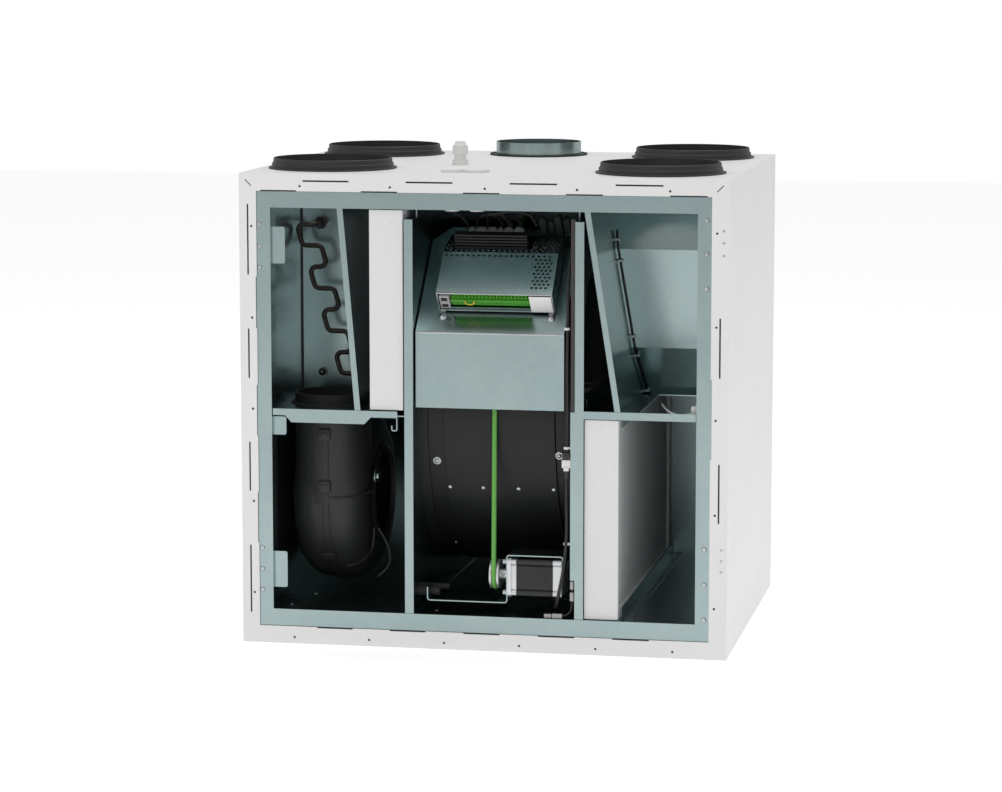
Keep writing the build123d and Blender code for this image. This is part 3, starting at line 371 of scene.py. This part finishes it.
def head(bm, point, direction, scale):
    """Pan head with a ring recess."""
    turned(bm, [(r * scale, h * scale) for r, h in PAN_HEAD], point, direction, 20)


def washer(bm, point, direction, inner, outer, thick):
    """Flat ring with a softened outer edge."""
    turned(bm, [(inner, 0), (outer, 0), (outer, thick * 0.7), (outer - 0.3, thick), (inner, thick)],
           point, direction, 32)


# ------------------------------------------------------------------ casing front
case_low, case_high = corners("outer_top_panel")
front = case_low.y
half = case_high.x
roof = case_high.z
HOLE_PROFILE = [(0, 0.05), (1.1, 0.05), (1.5, 0.25), (1.6, 0)]
HOLE_INSET, FOOT_INSET, CORNER_INSET, EYELET_INSET = 17, 9, 13, 8
TOP_HOLES_X, FOOT_HOLES_X = (-250, -125, 5, 130, 255), (-262, -157, -52, 52, 157, 262)
SIDE_HOLES_Z, EYELETS_Z = (70, 197, 325, 450, 575), (120, 135, 150, 545, 562, 578)

holes = [(x, roof - HOLE_INSET) for x in TOP_HOLES_X]
holes += [(x, FOOT_INSET) for x in FOOT_HOLES_X]
holes += [(side * (half - HOLE_INSET), z) for z in SIDE_HOLES_Z for side in (-1, 1)]
bm = bmesh.new()
for x, z in holes:
    turned(bm, HOLE_PROFILE, (x, front, z), FORWARD, 16)
for side in (-1, 1):                               # slanting slots in the two upper corners
    corner = Matrix.Translation((side * (half - CORNER_INSET), front, roof - CORNER_INSET))
    bevelled(bm, (-6, -0.15, -0.6), (6, 0.1, 0.6), 0.1,
             corner @ Matrix.Rotation(-side * math.pi / 4, 4, "Y"))
# The holes and corner slots are black discs: their black is painted shade inside the openings.
add_piece("flange_holes", bm, "black_rubber")

bm = bmesh.new()
for z in EYELETS_Z:
    washer(bm, (half - EYELET_INSET, front, z), FORWARD, 0.6, 1.9, 0.4)
add_piece("flange_eyelets", bm, "steel")

# ------------------------------------------------------------------ supply fan housing
scroll_low, scroll_high = corners("supply_fan_scroll")
impeller_low, impeller_high = corners("supply_impeller")
scroll_x = (scroll_low.x + scroll_high.x) / 2
axis_y = (impeller_low.y + impeller_high.y) / 2
axis_z = (impeller_low.z + impeller_high.z) / 2
scroll_r = axis_z - scroll_low.z
neck_front = scroll_low.y
inlet_x = scroll_high.x
SEAM_STEPS, SEAM_START, SEAM_SWEEP = 26, 4, 84     # points, then degrees below level
SEAM_PROFILE = [(-5.2, -0.6), (-5.2, 1.8), (-3.6, 1.8), (-3.2, 0.7), (3.2, 0.7), (3.6, 1.8),
                (5.2, 1.8), (5.2, -0.6)]
NECK_HEIGHTS, NECK_CLIPS_Z = (313, 280, 240, 205), (281, 208)
LOW_CLIP_ANGLE = math.radians(38.5)
INLET_PROFILE = [(62, -1), (70, 0), (71, 1.2), (70, 2.2), (66, 3), (63.5, 4.4), (62.6, 4.6), (62, 3)]
DISC_PROFILE = [(0, 0), (11, 0), (11.6, 1), (11, 2), (6, 2.2), (5, 4.5), (0, 4.8)]
DISC_FROM_AXIS = (-80, 35)                         # along y and z


def scroll_line():
    """Front line of the housing at its middle: down the neck, then round under the body."""
    line = [((scroll_x, neck_front, z), FORWARD, RIGHT) for z in NECK_HEIGHTS]
    for step in range(SEAM_STEPS):
        angle = math.radians(-SEAM_START - SEAM_SWEEP * step / (SEAM_STEPS - 1))
        out = Vector((0, -math.cos(angle), math.sin(angle)))
        spot = Vector((scroll_x, axis_y, axis_z)) + out * scroll_r
        line.append((spot, out, RIGHT))
    return line


bm = bmesh.new()
swept(bm, scroll_line(), SEAM_PROFILE)
for z in NECK_CLIPS_Z:
    bevelled(bm, (scroll_x - 8.5, neck_front - 5, z - 8), (scroll_x + 8.5, neck_front + 1, z + 8), 1.6)
    bevelled(bm, (scroll_x - 5, neck_front - 6.2, z - 3), (scroll_x + 5, neck_front - 4, z + 3), 0.8)
low_clip = (Matrix.Translation((scroll_x, axis_y, axis_z)) @ Matrix.Rotation(LOW_CLIP_ANGLE, 4, "X")
            @ Matrix.Translation((0, -scroll_r, 0)))
bevelled(bm, (-9, -5, -6), (9, 1, 6), 1.4, low_clip)
bevelled(bm, (-10, -6.5, 4), (10, -4.5, 6.5), 0.7, low_clip)
add_piece("fan_housing_seam", bm, "black_plastic")

bm = bmesh.new()
turned(bm, INLET_PROFILE, (inlet_x, axis_y, axis_z), RIGHT, 72)
add_piece("fan_inlet_ring", bm, "black_plastic")

bm = bmesh.new()
disc_place = (inlet_x + 10, axis_y + DISC_FROM_AXIS[0], axis_z + DISC_FROM_AXIS[1])
turned(bm, DISC_PROFILE, disc_place, (1, -0.2, 0), 40)
add_piece("fan_sensor_disc", bm, "galvanised")

FLAT_HALF, SHOULDER = 14, 40                       # the housing's section across its rim
LEAD_LIFT = 1.2


def on_housing(across, z):
    """Point just off the front of the rounded housing, so far across from its middle."""
    past_flat = max(0, abs(across) - FLAT_HALF)
    reach = scroll_r - SHOULDER + math.sqrt(SHOULDER ** 2 - past_flat ** 2)
    y = axis_y - math.sqrt(reach ** 2 - (z - axis_z) ** 2) - LEAD_LIFT
    return Vector((scroll_x + across, y, z))


beside = inlet_x + 6
wire("fan_lead_upper", [on_housing(6, 193), on_housing(20, 192), on_housing(36, 193),
                        on_housing(48, 195), (beside, axis_y - 92, 198)], 1.6, "cable_black")
wire("fan_lead_lower", [on_housing(20, 88), on_housing(36, 91), on_housing(46, 100),
                        (beside, axis_y - 82, 117), (beside, axis_y - 80, 145)], 1.8, "cable_black")
wire("fan_lead_loop", [(beside + 6, axis_y - 80, 144), (beside + 20, axis_y - 86, 126),
                       (beside + 26, axis_y - 89, 106), (beside + 22, axis_y - 92, 88),
                       (beside + 8, axis_y - 94, 78)], 1.8, "cable_black")

# ------------------------------------------------------------------ wheel and its shrouds
band_low, band_high = corners("rotor_band")
wheel_z = (band_low.z + band_high.z) / 2
wheel_r = (band_high.z - band_low.z) / 2
SHROUD_RADIUS = 240
SHROUD_BOLTS = ((-70, 254, 1.0), (100, 266, 1.0), (-64, 124, 0.5))   # x, z, scale


def on_drum(x, z, radius):
    """Point and outward direction on the front of the drum."""
    drop = z - wheel_z
    out = Vector((0, -math.sqrt(radius ** 2 - drop ** 2), drop)).normalized()
    return Vector((x, 0, wheel_z)) + out * radius, out


bm = bmesh.new()
for x, z, scale in SHROUD_BOLTS:
    point, out = on_drum(x, z, SHROUD_RADIUS)
    washer(bm, point, out, 2.5 * scale, 5.6 * scale, 1.1)
    head(bm, point + out * 1.0, out, 1.25 * scale)
add_piece("shroud_bolts", bm, "steel")

LAP_GAUGE = 0.22                                   # less than the belt's clearance
LAP_LOW, LAP_HIGH, LAP_STEPS = 206, 420, 28
lap = []
for step in range(LAP_STEPS + 1):
    out = on_drum(0, LAP_HIGH + (LAP_LOW - LAP_HIGH) * step / LAP_STEPS, wheel_r)[1]
    lap.append((Vector((0, 0, wheel_z)) + out * wheel_r, out, RIGHT))
bm = bmesh.new()
swept(bm, lap, [(band_low.x + 0.5, -0.1), (band_high.x - 0.5, -0.1),
                (band_high.x - 0.5, LAP_GAUGE), (band_low.x + 0.5, LAP_GAUGE)])
add_piece("band_lap", bm, "black_steel", "wheel")

RIVET_DROP = 109                                   # below the wheel's axis
RIVETS_X = (-54.5, -8, 41, 90)
RIVET_PROFILE = [(0, 2.0), (1.5, 1.85), (2.6, 1.3), (3.1, 0.3), (3.2, 0), (0, 0)]
bm = bmesh.new()
for x in RIVETS_X:
    point, out = on_drum(x, wheel_z - RIVET_DROP, wheel_r)
    turned(bm, RIVET_PROFILE, point, out, 20)
add_piece("band_rivet_caps", bm, "steel", "wheel")

# ------------------------------------------------------------------ wheel motor
pulley_low, pulley_high = corners("drive_pulley")
motor_y = (pulley_low.y + pulley_high.y) / 2
motor_z = (pulley_low.z + pulley_high.z) / 2
SCREW_SEAT = 7.3                                   # just under the pulley hub's surface
bm = bmesh.new()
head(bm, (pulley_high.x - 4.5, motor_y - SCREW_SEAT, motor_z), FORWARD, 0.8)
add_piece("pulley_set_screw", bm, "steel", "pulley_drive")

cap_low, cap_high = corners("motor_end_caps")
SLEEVE_INSET, SLEEVE_OFFSET = 12.5, 21.3           # just clear of the end caps, on the bolts' lines
bm = bmesh.new()
for dy in (-SLEEVE_OFFSET, SLEEVE_OFFSET):
    for dz in (-SLEEVE_OFFSET, SLEEVE_OFFSET):
        start = Vector((cap_low.x + SLEEVE_INSET, motor_y + dy, motor_z + dz))
        span = cap_high.x - SLEEVE_INSET - start.x
        turned(bm, [(0, 0), (3.6, 0), (4.2, 0.8), (4.2, span - 0.8), (3.6, span), (0, span)], start,
               RIGHT, 16)
add_piece("motor_tie_sleeves", bm, "black_plastic")

# ------------------------------------------------------------------ cable fittings by the right partition
run_x, run_y = 115, front + 12                     # the motor cable's upright run
GRIP_INNER, GRIP_OUTER, GRIP_HEIGHT = 2.25, 4.1, 3.2
CABLE_CLIPS_Z, TOP_GRIP_Z = (281, 150), 441
bm = bmesh.new()
for z in CABLE_CLIPS_Z:
    washer(bm, (run_x, run_y, z - GRIP_HEIGHT / 2), UP, GRIP_INNER, GRIP_OUTER, GRIP_HEIGHT)
    bevelled(bm, (run_x + 2, run_y - 1.4, z - 1.4), (run_x + 9, run_y + 1.4, z + 1.4), 0.5)
bevelled(bm, (run_x - 6.2, run_y - 4, 254), (run_x + 6.2, run_y + 4, 265), 0.8)
bevelled(bm, (run_x - 3.6, run_y - 5.2, 250), (run_x + 3.6, run_y + 2, 255), 0.6)
washer(bm, (run_x, run_y, TOP_GRIP_Z), UP, GRIP_INNER, GRIP_OUTER, GRIP_HEIGHT)
add_piece("cable_clips_white", bm, "white_plastic")

bm = bmesh.new()
bevelled(bm, (run_x - 5.6, run_y - 4.8, 266), (run_x + 5.6, run_y + 4.4, 275), 0.9)
turned(bm, [(2.3, 0), (4.2, 0), (3.9, 6), (3.0, 11), (2.3, 11)], (run_x, run_y, 250), (0, 0, -1), 20)
add_piece("cable_coupling", bm, "black_plastic")

strip_x = corners("right_partition")[0].x
STRIP_FOOT, STRIP_TOP, STRIP_BARS_Z = 331, 590, (345, 400, 455, 510, 565)
bm = bmesh.new()
bevelled(bm, (strip_x + 0.4, front + 9, STRIP_FOOT), (strip_x + 6.6, front + 13, STRIP_TOP), 0.7)
for z in STRIP_BARS_Z:
    bevelled(bm, (strip_x + 0.9, front + 8.6, z - 0.6), (strip_x + 6.1, front + 9.4, z + 0.6), 0.2)
add_piece("partition_seal_strip", bm, "dark_strip")

lead_y = front + 9
wire("door_switch_lead", [(123, lead_y, 96), (123.5, lead_y, 78), (123, lead_y, 62),
                          (119, lead_y, 53), (110, lead_y, 51)], 1.3, "cable_black")
bm = bmesh.new()
bevelled(bm, (96, lead_y - 3, 47.7), (110, lead_y + 3, 53.7), 0.7)
bevelled(bm, (85, lead_y - 2.5, 48), (95, lead_y + 2.5, 53), 0.7)
bevelled(bm, (120.8, lead_y - 2.5, 72), (125.8, lead_y + 2.5, 84), 0.7)
bevelled(bm, (121, lead_y - 2.5, 88), (125.6, lead_y + 2.5, 99), 0.7)
add_piece("door_switch_plugs", bm, "grey_plastic")

# ------------------------------------------------------------------ controller
tray_low, tray_high = corners("control_tray")
FOLD_Z = 434
fold = Vector((0, tray_low.y, FOLD_Z))
slope_up = Vector((0, 1, 1)).normalized()
slope_out = Vector((0, -1, 1)).normalized()
# From the fold: x stays, y runs up the sloping tray, z stands out of it.
on_slope = Matrix.Translation(fold) @ Matrix(((1, 0, 0, 0), (0, slope_up.y, slope_out.y, 0),
                                              (0, slope_up.z, slope_out.z, 0), (0, 0, 0, 1)))
lid_low, lid_high = corners("controller_lid")
block_end = corners("terminal_block")[1].x
CASE_FRONT, CASE_BASE, CASE_TOP = 36, 4, 41
HIGHLIGHT_RIM_DEPTH, HIGHLIGHT_RIM_WIDTH = 1.4, 1.6

# Bright steel frame along the lid's front edges: it stands in for the highlights those edges catch, a
# painted highlight.
bm = bmesh.new()
highlight_rim_y = CASE_FRONT - HIGHLIGHT_RIM_DEPTH
for x in (lid_low.x, lid_high.x - HIGHLIGHT_RIM_WIDTH):
    bevelled(bm, (x, highlight_rim_y, CASE_BASE), (x + HIGHLIGHT_RIM_WIDTH, CASE_FRONT, CASE_TOP), 0.4, on_slope)
for height in (CASE_TOP - HIGHLIGHT_RIM_WIDTH, CASE_BASE):
    bevelled(bm, (lid_low.x, highlight_rim_y, height), (lid_high.x, CASE_FRONT, height + HIGHLIGHT_RIM_WIDTH), 0.4, on_slope)
add_piece("controller_highlight_rim", bm, "steel")

SOCKET_HEIGHTS = (9, 22)
bm = bmesh.new()
for w in SOCKET_HEIGHTS:
    bevelled(bm, (lid_low.x + 3, CASE_FRONT - 1, w), (lid_low.x + 16, CASE_FRONT + 12, w + 12), 0.7,
             on_slope)
add_piece("controller_sockets", bm, "grey_plastic")
bm = bmesh.new()
for w in SOCKET_HEIGHTS:
    bevelled(bm, (lid_low.x + 5, CASE_FRONT - 1.5, w + 2.5),
             (lid_low.x + 14, CASE_FRONT - 0.9, w + 9.5), 0.3, on_slope)
# Black plates in the sockets' mouths: painted shade inside the openings.
add_piece("controller_socket_mouths", bm, "black_rubber")

bm = bmesh.new()
bevelled(bm, (block_end + 1, CASE_FRONT - 2.2, 6), (lid_high.x - 2, CASE_FRONT - 1.5, 38), 0.3, on_slope)
add_piece("controller_blank_plate", bm, "white_plastic")

STANDOFF_INSET = 5
bm = bmesh.new()
for x in (lid_low.x + STANDOFF_INSET, lid_high.x - STANDOFF_INSET):
    head(bm, on_slope @ Vector((x, 28, 0)), slope_out, 1.9)
    turned(bm, [(0, 0), (3.4, 0), (3.4, 4), (0, 4)], on_slope @ Vector((x, 33, 0)), slope_out, 16)
add_piece("controller_standoffs", bm, "steel")

LOOP_RADIUS, LOOP_X, LOOP_HEIGHT = 6.6, -19.5, 26
LOOP_START, LOOP_TURN, LOOP_STEPS = 170, 200, 8    # degrees, degrees, pieces of the arc
loop = []
for step in range(LOOP_STEPS + 1):
    angle = math.radians(LOOP_START + LOOP_TURN * step / LOOP_STEPS)
    loop.append(on_slope @ Vector((LOOP_X + LOOP_RADIUS * math.cos(angle), CASE_FRONT - 2.5,
                                   LOOP_HEIGHT + LOOP_RADIUS * math.sin(angle))))
wire("bridge_wire", loop, 0.9, "yellow_wire")

PLUG_WIDTHS, PLUG_GAP = (9, 15, 13, 8, 13, 14), 1
bm = bmesh.new()
plug_x = -40
for width in PLUG_WIDTHS:
    bevelled(bm, (plug_x, 161, 14), (plug_x + width, 168, 20), 0.6, on_slope)
    bevelled(bm, (plug_x + 1.4, 168, 15), (plug_x + width - 1.4, 172, 19), 0.5, on_slope)
    plug_x += width + PLUG_GAP
add_piece("controller_plugs", bm, "grey_plastic")

ROUND_PLUG_PROFILE = [(0, 0), (5, 0), (5, 1), (4.2, 2), (4.2, 8), (3, 8.6), (3, 4), (0, 4)]
ROUND_PLUGS_X = (62, 76)
BLACK_PLUG_START, BLACK_PLUG_PITCH, BLACK_PLUG_TOPS = 61, 11, (46, 38, 52, 44)
bm = bmesh.new()
for x in ROUND_PLUGS_X:
    turned(bm, ROUND_PLUG_PROFILE, on_slope @ Vector((x, 121, 34)), slope_out, 28)
for index, height in enumerate(BLACK_PLUG_TOPS):
    x = BLACK_PLUG_START + index * BLACK_PLUG_PITCH
    y = 160 + 3 * (index % 2)
    bevelled(bm, (x, y, 12), (x + 9.5, y + 9, height), 1.2, on_slope)
add_piece("controller_black_plugs", bm, "black_plastic")

WIRE_STARTS_X = (-30, -14, 6, 20, 34)
gather = on_slope @ Vector((-10, 168, 48))         # where the wires meet above the plugs
for index, start in enumerate(WIRE_STARTS_X):
    base = on_slope @ Vector((start, 170, 18))
    rise = Vector((0, 0, gather.z - base.z))
    low_bend = base.lerp(gather, 0.35) + rise * 0.5
    high_bend = base.lerp(gather, 0.75) + rise * 0.25
    end = gather + Vector((3 * index - 6, 2 * index - 4, 0))
    wire(f"controller_wire_{index + 1}", [base, base + rise * 0.45, low_bend, high_bend, end], 1.4,
         "cable_black")

bead_length = tray_high.x - tray_low.x
bm = bmesh.new()
turned(bm, [(0, 0), (1.4, 0.3), (1.4, bead_length - 0.3), (0, bead_length)],
       (tray_low.x, fold.y + 0.9, FOLD_Z - 0.6), RIGHT, 20)
add_piece("tray_fold_bead", bm, "steel")

# ------------------------------------------------------------------ right side wiring
ceiling = corners("liner_top")[0].z
BAFFLE_TOP_X, BAFFLE_FOOT_X = 141, 184             # the leaning plate's face at its ends
BAFFLE_TOP_Z, BAFFLE_FOOT_Z = 600.5, 323.5
CORNER_GAP_X, CORNER_GAP_Y = 3.5, 3.0              # keeps the lead off both faces
wall_line = ((front + 236, ceiling), (front + 201, 534), (front + 216, 395),
             (front + 270, BAFFLE_FOOT_Z))


def in_corner(z):
    """Point in the corner between the leaning plate and the folded wall."""
    lean = (BAFFLE_TOP_Z - z) / (BAFFLE_TOP_Z - BAFFLE_FOOT_Z)
    x = BAFFLE_TOP_X + (BAFFLE_FOOT_X - BAFFLE_TOP_X) * lean
    for (y_high, z_high), (y_low, z_low) in zip(wall_line, wall_line[1:]):
        if z >= z_low:
            break
    y = y_low + (y_high - y_low) * (z - z_low) / (z_high - z_low)
    return Vector((x + CORNER_GAP_X, y - CORNER_GAP_Y, z))


LEAD_CLIPS_Z = (547, 518, 411, 383, 328)
LEAD_POINTS_Z = (560, 548, 535, 500, 455, 410, 395, 380, 350, 330)
bm = bmesh.new()
for z in LEAD_CLIPS_Z:
    spot = in_corner(z)
    bevelled(bm, spot - Vector((3.6, 1.6, 1.8)), spot + Vector((4.5, 2.4, 1.8)), 0.8)
    head(bm, spot + Vector((3, -1.5, 0)), FORWARD, 0.5)
add_piece("sensor_lead_clips", bm, "steel")
wire("sensor_lead", [in_corner(z) for z in LEAD_POINTS_Z], 1.4, "cable_black")

bm = bmesh.new()
bevelled(bm, (283, front + 14, 324.5), (291, front + 24, 341), 1.0)
add_piece("shelf_block_white", bm, "white_plastic")
wire("shelf_lead_white", [(284, front + 19, 331), (270, front + 24, 327), (252, front + 52, 326),
                          (236, front + 96, 326.5), (226, front + 140, 326)], 1.3, "white_plastic")

# ------------------------------------------------------------------ liner studs and painted corner shade
floor_z = corners("liner_bottom")[1].z
FLOOR_RIVETS = ((-277, -228), (-262, -150), (-70, -235), (-40, -120))
FLOOR_RIVET_PROFILE = [(0, 1.4), (1.6, 1.2), (2.4, 0.6), (2.6, 0)]
bm = bmesh.new()
for x, y in FLOOR_RIVETS:
    turned(bm, FLOOR_RIVET_PROFILE, (x, y, floor_z), UP, 18)
add_piece("floor_rivets", bm, "steel")

fittings_back = corners("heater_fittings")[1].y
stub = Vector((-270, fittings_back - 6, 352))
tip = stub - Vector((0, 2.4, 0))
GROMMET_PROFILE = [(0, 2.6), (2.4, 2.4), (3.8, 1.8), (5, 0.8), (5.3, 0), (0, 0)]
TIP_PROFILE = [(0, 1.6), (1.0, 1.4), (1.6, 0.6), (1.6, 0), (0, 0)]
bm = bmesh.new()
turned(bm, GROMMET_PROFILE, stub, FORWARD, 30)
add_piece("sensor_grommet", bm, "black_rubber")
bm = bmesh.new()
turned(bm, TIP_PROFILE, tip, FORWARD, 18)
add_piece("sensor_tip", bm, "steel")

divider_low, divider_high = corners("chamber_dividers")
# Dark strip in the corner between the liner and the divider: painted shade of the corner.
bm = bmesh.new()
bevelled(bm, (divider_low.x + 0.1, fittings_back - 1.8, divider_low.z + 2),
         (divider_low.x + 1.7, fittings_back - 0.1, divider_high.z - 2), 0.3)
add_piece("chamber_corner_painted_shade", bm, "dark_strip")

# ------------------------------------------------------------------ stage, light and camera
FLOOR_REACH, FLOOR_DROP, PAPER_GLOW = 9, 0.001, 0.5
bm = bmesh.new()
bmesh.ops.create_grid(bm, x_segments=8, y_segments=8, size=FLOOR_REACH)
floor_mesh = bpy.data.meshes.new("studio_floor")
bm.to_mesh(floor_mesh)
bm.free()
floor = bpy.data.objects.new("studio_floor", floor_mesh)
floor.location.z = -FLOOR_DROP
bpy.context.scene.collection.objects.link(floor)
paper, paper_shader = new_material("studio_paper", 0.0, 0.9)
paper_shader.inputs["Base Color"].default_value = (0.9, 0.9, 0.9, 1)
paper_shader.inputs["Emission Color"].default_value = (1, 1, 1, 1)
paper_shader.inputs["Emission Strength"].default_value = PAPER_GLOW
floor_mesh.materials.append(paper)

STUDIO_LIGHT, SEEN_LIGHT = 0.5, 1.0                # what lights the object, what the camera sees
world = bpy.data.worlds.new("studio")
bpy.context.scene.world = world
world.use_nodes = True
sky = world.node_tree
backdrop = sky.nodes["Background"]
backdrop.inputs["Color"].default_value = (1, 1, 1, 1)
rays = sky.nodes.new("ShaderNodeLightPath")
level = sky.nodes.new("ShaderNodeMapRange")
level.inputs["To Min"].default_value = STUDIO_LIGHT
level.inputs["To Max"].default_value = SEEN_LIGHT
sky.links.new(rays.outputs["Is Camera Ray"], level.inputs["Value"])
sky.links.new(level.outputs["Result"], backdrop.inputs["Strength"])
bpy.context.scene.view_settings.view_transform = "Standard"


def softbox(name, place, aim, size, power):
    light = bpy.data.lights.new(name, "AREA")
    light.shape = "RECTANGLE"
    light.size, light.size_y = size
    light.energy = power
    obj = bpy.data.objects.new(name, light)
    obj.location = place
    obj.rotation_euler = (Vector(aim) - Vector(place)).to_track_quat("-Z", "Y").to_euler()
    bpy.context.scene.collection.objects.link(obj)


softbox("key_light", (-1.6, -2.6, 2.6), (0, 0, 0.35), (1.6, 1.2), 15)
softbox("top_light", (0.3, 0.2, 3.0), (0, 0, 0.5), (2.2, 1.8), 30)

LENS, SENSOR_WIDTH = 119.4, 36
CAMERA_PLACE = (0.8646, -4.6269, 0.9507)
YAW, PITCH = -0.19, 0.1344                         # radians, turned left and down
camera_data = bpy.data.cameras.new("camera")
camera_data.lens = LENS
camera_data.sensor_width = SENSOR_WIDTH
camera = bpy.data.objects.new("camera", camera_data)
camera.location = CAMERA_PLACE
sight = Vector((math.sin(YAW) * math.cos(PITCH), math.cos(YAW) * math.cos(PITCH), -math.sin(PITCH)))
camera.rotation_euler = sight.to_track_quat("-Z", "Y").to_euler()
bpy.context.scene.collection.objects.link(camera)
bpy.context.scene.camera = camera
